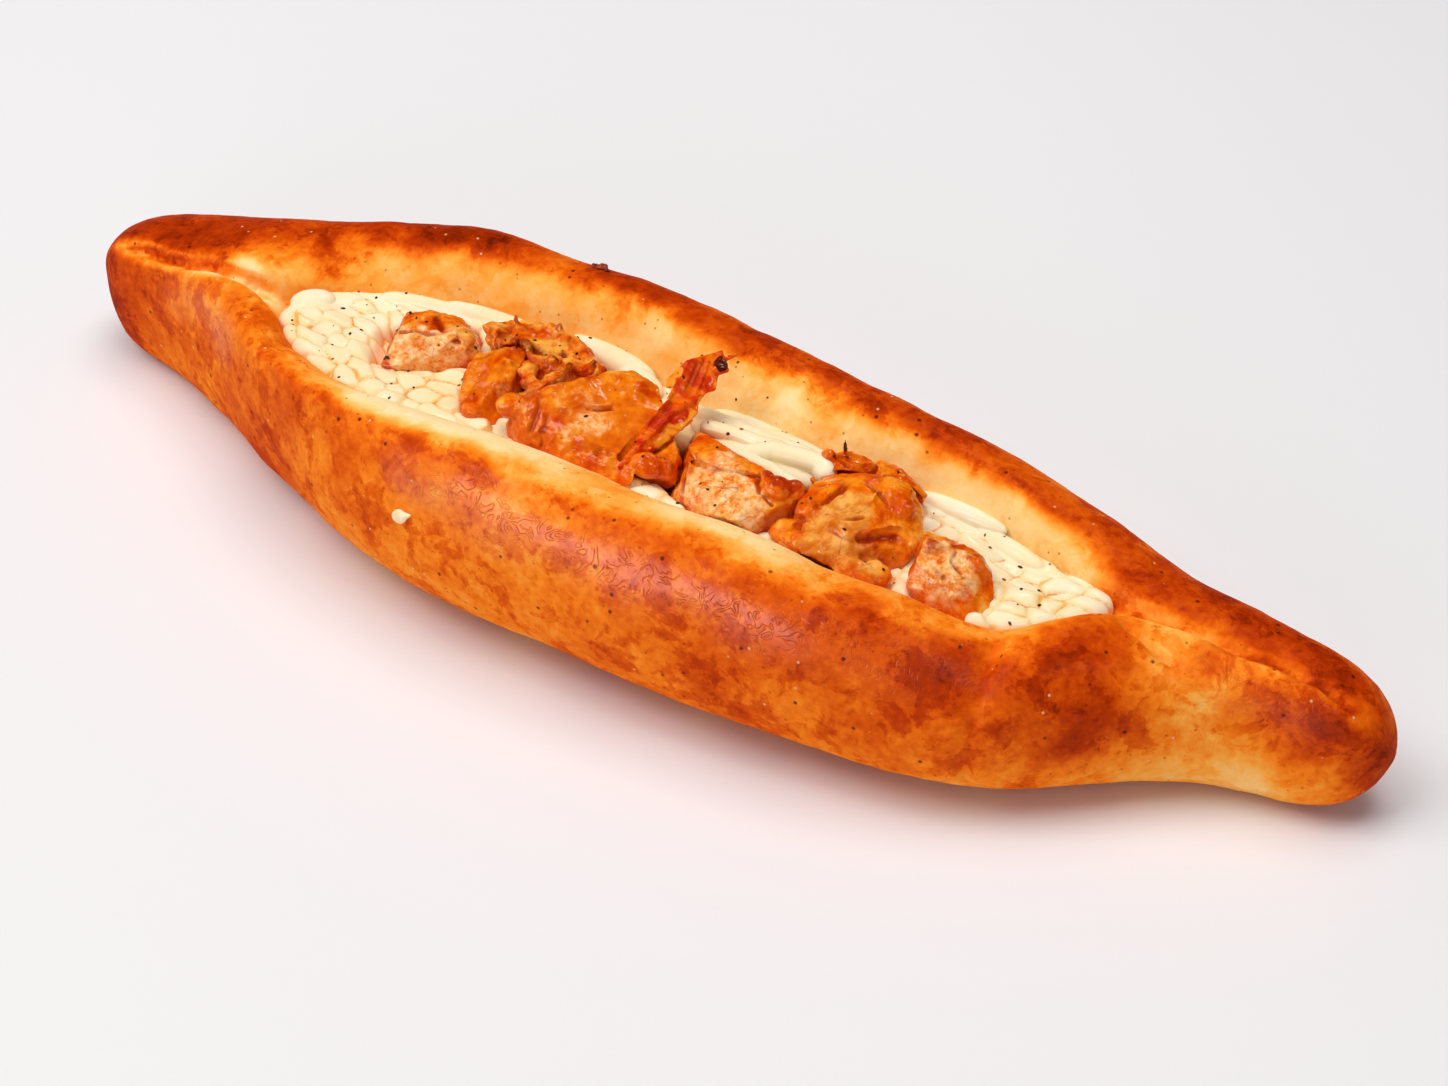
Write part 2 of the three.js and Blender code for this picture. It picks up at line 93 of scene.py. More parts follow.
def copy_of(node, name):
    """A free copy of a solid's mesh, with its loose triangles merged into quads where they pair up."""
    pick(frame["nodes"][node])
    bpy.ops.object.duplicate()
    piece = bpy.context.active_object
    piece.name = name
    piece.parent = None
    del piece["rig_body"]
    del piece["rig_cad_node"]
    edit_all(piece)
    bpy.ops.mesh.remove_doubles(threshold=0.01 * MM)
    bpy.ops.mesh.tris_convert_to_quads(face_threshold=math.radians(60), shape_threshold=math.radians(60))
    close_edit()
    return piece


def work(piece, kind, **settings):
    """Adds a modifier and applies it."""
    pick(piece)
    bpy.ops.object.modifier_add(type=kind)
    modifier = piece.modifiers[-1]
    for key, value in settings.items():
        setattr(modifier, key, value)
    bpy.ops.object.modifier_apply(modifier=modifier.name)


def remesh(piece, size):
    work(piece, "REMESH", mode="VOXEL", voxel_size=size * MM, use_smooth_shade=True)


def relax(piece, rounds):
    work(piece, "SMOOTH", factor=0.5, iterations=rounds)


def join(pieces, name):
    pick(pieces[0])
    for piece in pieces[1:]:
        piece.select_set(True)
    bpy.ops.object.join()
    pieces[0].name = name
    return pieces[0]


def spots(piece):
    """Vertex places in millimetres."""
    flat = np.empty(len(piece.data.vertices) * 3, np.float32)
    piece.data.vertices.foreach_get("co", flat)
    return flat.reshape(-1, 3).astype(float) / MM


def facings(piece):
    """Vertex normals."""
    flat = np.empty(len(piece.data.vertices) * 3, np.float32)
    piece.data.vertices.foreach_get("normal", flat)
    return flat.reshape(-1, 3).astype(float)


def store(piece, name, values):
    """Keeps one number for each vertex, for the piece's finish to read."""
    attribute = piece.data.attributes.new(name, "FLOAT", "POINT")
    attribute.data.foreach_set("value", values.astype(np.float32))


def weigh(piece, name, values):
    """A vertex group with the given weights, for modifiers that act on part of a piece."""
    group = piece.vertex_groups.new(name=name)
    for index in np.flatnonzero(values > 0.001):
        group.add([int(index)], float(values[index]), "REPLACE")
    return group.name


def step(low, high, value):
    """0 below low, 1 above high, smooth between."""
    t = np.clip((value - low) / (high - low), 0, 1)
    return t * t * (3 - 2 * t)


def distance_to_line(places, line):
    """Distance of each place from a polyline."""
    line = np.array(line, float)
    nearest = np.full(len(places), 1e9)
    for start, end in zip(line[:-1], line[1:]):
        run = end - start
        t = np.clip(((places - start) @ run) / (run @ run), 0, 1)
        nearest = np.minimum(nearest, np.linalg.norm(places - start - t[:, None] * run, axis=1))
    return nearest


def along(places, line, width):
    """1 on a line, falling off softly over a width to both sides."""
    return np.exp(-((distance_to_line(places, line) / width) ** 2))


def wander(places, size, reach):
    """The places, moved by smooth noise of that grain size, so that paint there gets ragged edges."""
    shift = [noise.noise_vector(Vector(p) / size) for p in places]
    return places + reach * np.array(shift)


def dabs(places, strokes):
    """Sum of soft round dabs: each stroke is x, y, z, radius and amount."""
    total = np.zeros(len(places))
    for x, y, z, radius, amount in strokes:
        away = ((places - (x, y, z)) ** 2).sum(axis=1) / radius**2
        total += amount * np.exp(-away)
    return total


def hollows(piece, rounds):
    """How far each vertex lies below the smoothed surface round it, in millimetres. Ridges are negative."""
    places = spots(piece)
    count = len(places)
    flat = np.empty(len(piece.data.edges) * 2, np.int32)
    piece.data.edges.foreach_get("vertices", flat)
    one, two = flat.reshape(-1, 2).T
    links = np.maximum(np.bincount(one, minlength=count) + np.bincount(two, minlength=count), 1)
    smooth = places.copy()
    for _ in range(rounds):
        for axis in range(3):
            value = smooth[:, axis]
            total = np.bincount(one, value[two], count) + np.bincount(two, value[one], count)
            smooth[:, axis] = total / links
    return ((smooth - places) * facings(piece)).sum(axis=1)


def cloud(name, size, depth=2):
    """A soft noise texture for displacing."""
    texture = bpy.data.textures.new(name, "CLOUDS")
    texture.noise_scale = size * MM
    texture.noise_depth = depth
    return texture


def creased(name, size, depth=2):
    """A noise texture of round swellings with sharp creases between them."""
    texture = cloud(name, size, depth)
    texture.noise_type = "HARD_NOISE"
    return texture


def displace(piece, texture, height, **settings):
    work(piece, "DISPLACE", texture=texture, strength=height * MM, texture_coords="LOCAL", **settings)


def press(piece, name, weights, height):
    """Moves the weighted part of a piece along its normals: a negative height presses it in."""
    work(piece, "DISPLACE", strength=height * MM, mid_level=0, vertex_group=weigh(piece, name, weights))
    piece.vertex_groups.clear()


def crease(piece, lines):
    """Presses a groove along each line in space, or raises a ridge where its depth is negative."""
    places = wander(spots(piece), *CREASE_WANDER)
    relief = np.zeros(len(places))
    for line, width, depth, *_ in lines:
        relief += depth * along(places, line, width)
    for name, way in (("grooves", 1), ("ridges", -1)):
        weights = np.maximum(way * relief, 0)
        if weights.max() > 0.01:
            press(piece, name, weights / weights.max(), -way * weights.max())


def slice_off(piece, facets):
    """Cuts flat facets: each is a point on the plane and the plane's outward normal."""
    for point, facing in facets:
        edit_all(piece)
        bpy.ops.mesh.bisect(plane_co=Vector(point) * MM, plane_no=facing, use_fill=True, clear_outer=True)
        close_edit()


# Building finishes

def paint(red, green, blue):
    """A screen colour, 0 to 255, as the linear colour that a shader takes."""
    def linear(v):
        v = v / 255
        return v / 12.92 if v <= 0.04045 else ((v + 0.055) / 1.055) ** 2.4

    return (linear(red), linear(green), linear(blue), 1)


class Finish:
    """A material on Object coordinates: each method adds one node and gives its output socket."""

    def __init__(self, name):
        self.material = bpy.data.materials.new(name)
        self.material.use_nodes = True
        self.tree = self.material.node_tree
        self.shader = self.tree.nodes["Principled BSDF"]
        self.place = self.add("ShaderNodeTexCoord").outputs["Object"]

    def add(self, kind, inputs=None, **settings):
        node = self.tree.nodes.new(kind)
        for key, value in settings.items():
            setattr(node, key, value)
        for key, value in (inputs or {}).items():
            self.plug(node.inputs[key], value)
        return node

    def plug(self, socket, value):
        if isinstance(value, bpy.types.NodeSocket):
            self.tree.links.new(value, socket)
        else:
            socket.default_value = value

    def value_of(self, name):
        return self.add("ShaderNodeAttribute", attribute_name=name).outputs["Fac"]

    def stretched(self, turn, scale):
        """Object coordinates, turned by degrees and then scaled along each axis."""
        turn = [math.radians(angle) for angle in turn]
        inputs = {"Vector": self.place, "Rotation": turn, "Scale": scale}
        return self.add("ShaderNodeMapping", inputs).outputs["Vector"]

    def grain(self, size, detail=3, rough=0.55, twist=0, place=None):
        """Noise whose lumps are about size millimetres across."""
        inputs = {
            "Vector": place or self.place,
            "Scale": 1 / (size * MM),
            "Detail": detail,
            "Roughness": rough,
            "Distortion": twist,
        }
        return self.add("ShaderNodeTexNoise", inputs).outputs["Fac"]

    def dots(self, size, radius, share):
        """Round dots in a share of the cells of a Voronoi pattern: 1 on a dot, 0 off it."""
        cells = self.add("ShaderNodeTexVoronoi", {"Vector": self.place, "Scale": 1 / (size * MM)})
        near = self.span(cells.outputs["Distance"], radius / size, 0.4 * radius / size)
        chance = self.add("ShaderNodeSeparateColor", {"Color": cells.outputs["Color"]}).outputs["Red"]
        chosen = self.maths("LESS_THAN", chance, share)
        return self.maths("MULTIPLY", near, chosen)

    def maths(self, operation, one, two=0.0):
        inputs = {0: one, 1: two}
        return self.add("ShaderNodeMath", inputs, operation=operation).outputs["Value"]

    def scaled(self, value, factor, offset=0.0):
        inputs = {0: value, 1: factor, 2: offset}
        return self.add("ShaderNodeMath", inputs, operation="MULTIPLY_ADD").outputs["Value"]

    def total(self, *values):
        result = values[0]
        for value in values[1:]:
            result = self.maths("ADD", result, value)
        return result

    def span(self, value, low, high):
        """Maps low to 0 and high to 1, smoothly and clamped."""
        inputs = {"Value": value, "From Min": low, "From Max": high}
        return self.add("ShaderNodeMapRange", inputs, interpolation_type="SMOOTHSTEP").outputs["Result"]

    def patch(self, name, ragged, low, high):
        """A mask from a stored amount, with ragged edges."""
        return self.span(self.total(self.value_of(name), ragged), low, high)

    def ramp(self, value, stops):
        """A colour by a value: each stop is a position and a screen colour."""
        node = self.add("ShaderNodeValToRGB", {"Fac": value})
        elements = node.color_ramp.elements
        while len(elements) < len(stops):
            elements.new(0.5)
        for element, (position, colour) in zip(elements, stops):
            element.position = position
            element.color = paint(*colour)
        return node.outputs["Color"]

    def layer(self, colour, mask, share, tint):
        """Lays a tint over a colour, up to that share of it. The tint is a screen colour or a socket."""
        over = paint(*tint) if isinstance(tint, tuple) else tint
        node = self.add("ShaderNodeMix", data_type="RGBA")
        for index, value in ((0, self.scaled(mask, share)), (6, colour), (7, over)):
            self.plug(node.inputs[index], value)
        return node.outputs[2]

    def bump(self, height, depth, normal=None):
        """Relief in which a height of 1 stands depth millimetres out."""
        inputs = {"Height": height, "Distance": depth * MM, "Strength": 1.0}
        if normal is not None:
            inputs["Normal"] = normal
        return self.add("ShaderNodeBump", inputs).outputs["Normal"]

    def done(self, **sockets):
        """Sets the shader's sockets, named with spaces as underscores, and gives the material."""
        for key, value in sockets.items():
            self.plug(self.shader.inputs[key.replace("_", " ")], value)
        return self.material


def dress(piece, finish, slot, *nodes):
    """Gives a finished piece its material and its place in the frame."""
    piece.data.materials.clear()
    piece.data.materials.append(finish)
    pick(piece)
    bpy.ops.object.shade_smooth()
    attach(piece, "root")
    if nodes:
        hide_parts(*nodes)


# The crust

# Plan line of the pinched seams and of the middle of the trough
SEAM_X = [-112, -94, -82, -75, -58, 0, 52, 66, 76, 82, 116]
SEAM_Y = [5.6, 3.6, 1.7, 1.5, 1.2, -0.5, -2.3, -2.3, 0.5, 1.4, 1.6]
OPENING = (-78, 77)

# Creases pressed into the skin, as lines in space with a width and a depth
CREASES = [
    ([(66.4, -14, 29), (67, -21, 25), (67.4, -26, 18), (67.2, -27, 8)], 0.9, 1.3),
    ([(78.5, -1.5, 28), (82.1, -4.1, 27.1), (86, -5.2, 25.8), (89.8, -5.8, 24.4)], 1, 1.6),
    ([(1.8, 27, 35), (3, 20, 35.5), (4.5, 13, 31)], 1.3, 0.6),
    ([(-66, -9, 29), (-64, -17, 31), (-63, -24, 25)], 1.8, 0.5),
    ([(-111, 5, 23.6), (-101.7, 3.8, 25.6), (-94, 3, 27), (-86, 2, 28.4), (-79, 1.4, 27.4)], 1.1, 2.1),
    (
        [(-104, 1.4, 25.4), (-95, 0.6, 27.6), (-86, -1, 29.4), (-79, -1.8, 29.6), (-72, -4.6, 29.4)],
        1.6, -0.9,
    ),
    ([(80, 1.4, 26), (98, 1.5, 24), (116, 1.6, 22)], 0.9, 1.6),
    ([(88, -0.8, 25.8), (98, -0.6, 24.8), (110, -0.2, 23.6)], 1.4, -0.5),
]

# How much darker the skin is painted in a crease, and lighter on a ridge, for each millimetre of its depth:
# a painted shade and a painted highlight
CREASE_PAINTED_SHADE = 0.09

# Where the oven browned the skin more or less than its surroundings: x, y, z, radius, amount
BROWNED = [
    (-48, -22, 33, 12, 0.16), (-27, -28, 32, 8, 0.14), (7, -32, 27, 6, -0.06), (28, -32, 27, 6, -0.03),
    (49, -27, 28, 20, 0.13), (78, -18, 23, 13, 0.2), (62, -26, 24, 13, 0.11), (84, -15, 18, 5, 0.14),
    (79, -20, 14, 4, 0.2), (72, -15, 28, 8, 0.12), (113, -3, 18, 8, 0.12), (107, -3, 22, 8, -0.04),
    (121, 3, 12, 11, 0.24), (94, 9, 25, 14, 0.08), (110, 8, 25, 12, 0.02), (89, -2, 26, 8, -0.16),
    (-58, 19, 34, 13, 0.14), (-49, 22, 36, 10, 0.1), (-66, 18, 33, 8, 0.08), (-17, 22, 36, 9, 0.16),
    (17, 19, 34, 10, 0.03), (27, 18, 33, 10, 0.03), (41, 15, 32, 9, 0.04), (66, 10, 29, 9, 0.04),
    (-99, 10, 27, 10, 0.08), (-113, 4, 14, 12, 0.14), (-120, 12, 14, 12, 0.2),
    (89, -13, 5, 10, -0.2), (102, -8, 5, 10, -0.14), (66, -24, 4, 9, -0.14),
    (-34, 22, 35, 9, -0.16), (-7, 19, 35, 8, -0.08), (53, 11, 30, 6, -0.1),
    (-70, -16, 15, 12, 0.18), (26, -33, 20, 12, 0.13), (7, -29, 33, 7, 0.1), (69, -14, 29, 5, -0.3),
    (-48, -20, 33, 6, -0.16), (90, -5, 25, 6, -0.1), (-86, 5, 29, 5, -0.2), (-79, 6, 29, 6, -0.25),
    (-73, 7, 30, 5, -0.15), (110, -4, 5, 9, -0.18), (102, -5, 4, 8, -0.1),
]

# How brown the sides are, and how much browner what faces up, what faces up at the back, and the tails
SIDE_BAKE = 0.51
TOP_BAKE = 0.06
BACK_TOP_BAKE = 0.16
LEFT_TAIL_BAKE = 0.02
RIGHT_TAIL_BAKE = 0.03

# The pale line along the seams: its width and how much paler it is on the left tail and on the right
SEAM_WIDTH = 2.4
SEAM_PALE = (0.34, 0.14)

# Where the skin of the lip broke up in flakes
FLAKED = [(40, -22.8, 31.4, 4.5, 1), (46, -22.4, 31, 3.5, 0.8)]

# How far the front lip stayed behind the rest, along its length, and how brown it is there
LIP_X = [-70, -52, -44, -10, 0, 8, 16, 30, 38, 46, 60, 74]
LIP_PALE = [0.3, 0.6, 1, 1, 0.55, 0.55, 0.95, 0.9, 0.65, 0.6, 0.7, 0.6]
LIP_BAKE = [0.2, 0.15, 0.13, 0.13, 0.13, 0.13, 0.13, 0.13, 0.16, 0.22, 0.3, 0.34]

# How brown the wall behind the filling is, along its length
WALL_X = [-70, -45, -15, 5, 60]
WALL_BAKE = [0.3, 0.27, 0.24, 0.17, 0.17]

# Where the egg wash dried in curled wrinkles: line, width and amount
WRINKLED = [
    ([(-30, -28.6, 29), (-12, -31, 28.4), (8, -32, 28), (28, -32, 27.5), (42, -30.5, 27)], 4.6, 0.85),
    ([(42, -30.5, 27), (54, -28, 27), (66, -24, 26)], 5, 0.5),
    ([(-100, -3, 25), (-82, -8.5, 26)], 6, 0.5),
    ([(92, -5, 23.5), (110, -4, 22)], 6, 0.45),
]
LEAST_WRINKLED = 0.08
CRUST_GRID = 0.85


def seam_at(x):
    return np.interp(x, SEAM_X, SEAM_Y)


def browning(places, normals):
    """How brown the skin is, from 0, pale dough, to 1, nearly burnt."""
    x, y, z = places.T
    side = np.sign(y - seam_at(x))
    inward = -side * normals[:, 1]
    up = normals[:, 2]
    within = step(OPENING[0] - 3, OPENING[0] + 10, x) * step(OPENING[1] + 3, OPENING[1] - 8, x)
    front = side < 0
    bake = SIDE_BAKE + TOP_BAKE * step(0.6, 0.97, up)
    bake += np.where(front, 0, BACK_TOP_BAKE * step(0.7, 0.97, up))
    bake += LEFT_TAIL_BAKE * step(-70, -95, x) + RIGHT_TAIL_BAKE * step(85, 100, x)
    bake += dabs(places, BROWNED)
    ragged = inward + 0.35 * np.array([noise.noise(Vector(place) / 6) for place in places])
    pale = np.where(front, step(-0.6, 0.35, ragged), step(0.05, 0.9, ragged)) * within
    pale *= np.where(front, np.interp(x, LIP_X, LIP_PALE), 1)
    paleness = np.where(front, np.interp(x, LIP_X, LIP_BAKE), np.interp(x, WALL_X, WALL_BAKE))
    bake = bake * (1 - pale) + paleness * pale
    on_seam = np.exp(-((np.abs(y - seam_at(x)) / SEAM_WIDTH) ** 2)) * step(0.3, 0.8, up) * (1 - within)
    bake -= on_seam * np.where(x < 0, *SEAM_PALE)
    return np.clip(bake, 0, 1)


def crust_finish():
    crust = Finish("baked_crust")
    # The stored browning also holds a painted shade in the creases and a painted highlight on the ridges
    bake = crust.value_of("bake")
    wrinkle = crust.value_of("wrinkle")
    broad = crust.grain(13, 4, 0.6)
    patchy = crust.grain(5, 5, 0.68, 0.4)
    fine = crust.grain(1.3, 3, 0.6)
    baked = crust.span(bake, 0.25, 0.5)
    blotches = crust.span(crust.grain(8, 5, 0.66, 0.4), 0.51, 0.57)
    flecks = crust.span(crust.grain(2.6, 4, 0.66, 0.3), 0.57, 0.64)
    mottling = crust.total(
        crust.scaled(broad, 0.5, -0.25),
        crust.scaled(patchy, 0.34, -0.17),
        crust.scaled(fine, 0.24, -0.12),
        crust.scaled(blotches, 0.11, -0.05),
        crust.scaled(flecks, 0.06, -0.01),
    )
    shade = crust.total(bake, crust.maths("MULTIPLY", mottling, crust.scaled(baked, 0.6, 0.4)))
    colour = crust.ramp(shade, [
        (0.0, (255, 236, 196)), (0.16, (255, 214, 140)), (0.3, (255, 172, 70)), (0.44, (249, 130, 26)),
        (0.58, (224, 90, 8)), (0.72, (190, 58, 3)), (0.86, (152, 40, 2)), (1.0, (104, 25, 2)),
    ])
    pits = crust.maths("MULTIPLY", crust.dots(3.2, 0.46, 0.45), baked)
    colour = crust.layer(colour, pits, 0.85, (70, 18, 6))
    pores = crust.dots(1.9, 0.3, 0.4)
    colour = crust.layer(colour, pores, 0.6, (150, 48, 10))
    # Pale raised dots on the skin, painted light as glints, a painted highlight; the bump below raises them
    blister_glints = crust.maths("MULTIPLY", crust.dots(2.8, 0.34, 0.35), baked)
    colour = crust.layer(colour, blister_glints, 0.6, (255, 210, 150))
    swirl = crust.maths("SINE", crust.scaled(crust.grain(3.4, 1, 0.5, 1.2), 22))
    groove = crust.span(crust.maths("ABSOLUTE", swirl), 0.6, 0)
    broken = crust.maths("MULTIPLY", groove, crust.span(crust.grain(2.4, 2), 0.4, 0.52))
    wrinkles = crust.maths("MULTIPLY", broken, crust.maths("MULTIPLY", wrinkle, baked))
    normal = crust.bump(fine, 0.07)
    normal = crust.bump(patchy, 0.12, normal)
    normal = crust.bump(wrinkles, -0.16, normal)
    normal = crust.bump(blister_glints, 0.14, normal)
    normal = crust.bump(pits, -0.12, normal)
    washed = crust.maths("MULTIPLY", wrinkle, baked)
    return crust.done(
        Base_Color=colour,
        Roughness=0.48,
        Normal=normal,
        Specular_IOR_Level=0,
        Coat_Weight=washed,
        Coat_Roughness=0.3,
        Coat_Normal=normal,
        Subsurface_Weight=0.06,
        Subsurface_Radius=(1.0, 0.42, 0.2),
        Subsurface_Scale=1.4 * MM,
    )


def make_bread():
    bread = copy_of("bread", "baked_bread")
    work(bread, "SUBSURF", levels=1, render_levels=1)
    remesh(bread, CRUST_GRID)
    relax(bread, 10)
    x = spots(bread)[:, 0]
    tails = weigh(bread, "tails", step(-66, -84, x) + step(74, 90, x))
    work(bread, "SMOOTH", factor=0.5, iterations=60, vertex_group=tails)
    displace(bread, cloud("slow_swell", 15), 0.7)
    displace(bread, cloud("skin_dimples", 5, 3), 0.35)
    crease(bread, CREASES)
    flaked = weigh(bread, "flaked", np.clip(dabs(spots(bread), FLAKED), 0, 1))
    displace(bread, creased("flakes", 3.5, 2), 1.2, vertex_group=flaked)
    edit_all(bread)
    bpy.ops.mesh.bisect(plane_co=(0, 0, 0), plane_no=(0, 0, 1), use_fill=True, clear_inner=True)
    close_edit()
    places = spots(bread)
    ragged = wander(wander(places, 9, 3), 3, 1)
    bake = browning(ragged, facings(bread))
    wandering = wander(places, *CREASE_WANDER)
    # Painted shade in the creases and painted highlight on the ridges, added to the browning
    for line, width, depth in CREASES:
        bake += CREASE_PAINTED_SHADE * depth * along(wandering, line, width)
    store(bread, "bake", np.clip(bake, 0, 1))
    wrinkle = np.full(len(places), LEAST_WRINKLED)
    for line, width, amount in WRINKLED:
        wrinkle = np.maximum(wrinkle, amount * along(ragged, line, width))
    store(bread, "wrinkle", wrinkle)
    bread.vertex_groups.clear()
    dress(bread, crust_finish(), "crust", "bread")
    return bread


# The cheese

# The shreds have melted into cells: their spacing, length for width, relief and jitter
SHRED_PITCH = (4.9, 3)
SHRED_STRETCH = (1.1, 2.6)
SHRED_RISE = 0.45
SHRED_LIFT = 0.35
SHRED_SLOPE = 0.14
SHRED_JITTER = (1.8, 0.7)
CHEESE_SEED = 11
CHEESE_GRID = 0.32

# Compass turn of the shreds: their trend, the swing of it with the grain of the swing, and their scatter
FLOW_TREND = -6
FLOW_SWING = 38
FLOW_GRAIN = 22
FLOW_SCATTER = 22

# Below this height the cheese is buried and needs fewer faces
BURIED_CHEESE = 21

# Melted ropes that lie along the back wall: x, y, z, three radii and a compass turn
ROPES = [
    (11, 9.6, 27.2, 8, 1.5, 1.1, -5), (20, 6.8, 27.6, 9, 2.3, 1.9, -8), (14, 5.6, 27, 8, 1.6, 1.4, -10),
    (-18, 13.2, 28.2, 9, 2, 1.8, -9), (-11, 10.6, 28.2, 5, 1.8, 1.4, -20),
    (-23, 13.6, 27.4, 7, 1.6, 1.2, 4), (48, 8.4, 26, 8, 1.3, 1.1, -6), (57, 5.6, 24.8, 7, 1.4, 1, -14),
    (-53, 11.4, 27.6, 8, 1.5, 1, 8), (-41, 13.4, 28, 9, 1.4, 1, 2), (-70.5, 3.6, 27.2, 3.4, 2.4, 1.2, 40),
    (17, 1.4, 28.4, 10, 2.8, 2.2, -3), (10, 4.6, 28.4, 8, 2.4, 1.6, -4),
]

# Long ropes behind the meat: line and radius
LONG_ROPES = [
    ([(15.6, -0.6, 30.6), (18.6, 1.5, 31), (22.8, 2.1, 31), (26.6, 2.6, 30.8), (28.4, 1, 30.4)], 1.45),
    ([(14.6, -1.6, 30.8), (20, -2, 30.8), (26, -3.6, 30.4)], 0.7),
    ([(6.5, 2.2, 30.8), (11.2, 2.6, 31), (15.4, 2.4, 31), (19, 3.4, 30.6)], 0.9),
    ([(3.3, 6.2, 29.5), (10.4, 5.5, 29.5), (17.6, 5.2, 29.5), (23, 5.4, 29)], 1.1),
]

# Oil that gathers on the cheese, and a painted warm glow of bounced light where it lies in shade by the
# ropes and the meat: x, y, z, radius, amount
OIL_AND_WARM_GLOW = [
    (-38, -8, 28, 7, 0.5), (-31, -12, 27, 4, 0.6), (-50, -7, 27, 6, 0.3), (60, -7, 26, 6, 0.45),
    (48, -10, 26, 5, 0.5), (46, 1, 26, 5, 0.3), (-58, 1, 27, 7, 0.2), (4, 4, 29, 5, 0.8),
    (-2, 6, 28, 5, 0.5), (12, 4, 30, 6, 0.4), (20, 2, 31, 6, 0.25), (6, -3, 29, 4, 0.8),
]


def ball(segments, rings):
    """One unit ball for copying, as vertices and faces; the primitive itself is deleted."""
    bpy.ops.mesh.primitive_uv_sphere_add(segments=segments, ring_count=rings, radius=1)
    primitive = bpy.context.active_object
    mesh = primitive.data
    corners = np.array([vertex.co for vertex in mesh.vertices])
    faces = [list(polygon.vertices) for polygon in mesh.polygons]
    bpy.data.objects.remove(primitive)
    return corners, faces


def copies(name, shape, placements):
    """One mesh of many copies of a shape, each given as scale, bend, matrix and place."""
    corners, faces = shape
    all_corners, all_faces = [], []
    for scale, bend, turn, place in placements:
        grown = corners * scale
        grown[:, 1] += bend * (grown[:, 0] ** 2 - scale[0] ** 2 / 3)
        offset = len(all_corners) * len(corners)
        all_corners.append(grown @ np.array(turn.to_3x3()).T + np.array(place))
        all_faces += [[index + offset for index in face] for face in faces]
    mesh = bpy.data.meshes.new(name)
    mesh.from_pydata((np.concatenate(all_corners) * MM).tolist(), [], all_faces)
    piece = bpy.data.objects.new(name, mesh)
    bpy.context.scene.collection.objects.link(piece)
    return piece


def top_of(piece, x, y):
    """Height and facing of the highest point of a piece above x, y, or None."""
    hit, place, normal, _ = piece.ray_cast(Vector((x, y, 100)) * MM, Vector((0, 0, -1)))
    return (place.z / MM, normal) if hit else None


def melted_shreds():
    """Middles of the melted shreds in plan, each with its direction and its length for its width."""
    draw = random.Random(CHEESE_SEED)
    listed = []
    x = OPENING[0]
    while x < OPENING[1]:
        y = -22 + draw.uniform(0, SHRED_PITCH[1])
        while y < 22:
            aside = [draw.uniform(-jitter, jitter) for jitter in SHRED_JITTER]
            at = Vector((x + aside[0], y + aside[1], 0))
            flow = FLOW_SWING * noise.noise(at / FLOW_GRAIN) + FLOW_TREND
            flow += draw.uniform(-FLOW_SCATTER, FLOW_SCATTER)
            listed.append((at.x, at.y, math.radians(flow), draw.uniform(*SHRED_STRETCH)))
            y += SHRED_PITCH[1]
        x += SHRED_PITCH[0]
    return listed


def rope_line(x, y, z, long, deep, tall, turn):
    """The middle line of a melted rope and its radius."""
    reach = Vector((long * math.cos(math.radians(turn)), long * math.sin(math.radians(turn)), 0))
    middle = Vector((x, y, z))
    return [middle - reach, middle + reach], deep


def swell_shreds(cheese):
    """Swells the top of the cheese into shreds that run together. Gives each vertex's way to a border."""
    draw = random.Random(CHEESE_SEED)
    places = spots(cheese)
    x, y, _ = wander(places, 3, 0.5).T
    nearest = np.full(len(x), 1e6)
    second = nearest.copy()
    lift = np.zeros(len(x))
    for middle_x, middle_y, turn, stretch in melted_shreds():
        ahead = (x - middle_x) * math.cos(turn) + (y - middle_y) * math.sin(turn)
        aside = (y - middle_y) * math.cos(turn) - (x - middle_x) * math.sin(turn)
        away = np.hypot(ahead / stretch, aside)
        closer = away < nearest
        second = np.where(closer, nearest, np.minimum(second, away))
        nearest = np.minimum(nearest, away)
        slope = draw.uniform(-SHRED_SLOPE, SHRED_SLOPE)
        lift = np.where(closer, draw.uniform(0, SHRED_LIFT) + slope * ahead, lift)
    smooth = np.zeros(len(x))
    for line, radius in LONG_ROPES + [rope_line(*rope) for rope in ROPES]:
        smooth = np.maximum(smooth, step(radius + 1.3, radius + 0.3, distance_to_line(places, line)))
    gap = np.maximum(second - nearest, 1.5 * smooth)
    relief = np.maximum(SHRED_RISE * (1 - np.exp(-gap / 0.5)) + lift * (1 - smooth), 0)
    relief *= step(BURIED_CHEESE, BURIED_CHEESE + 2, places[:, 2])
    press(cheese, "shreds", relief / relief.max(), relief.max())
    return gap


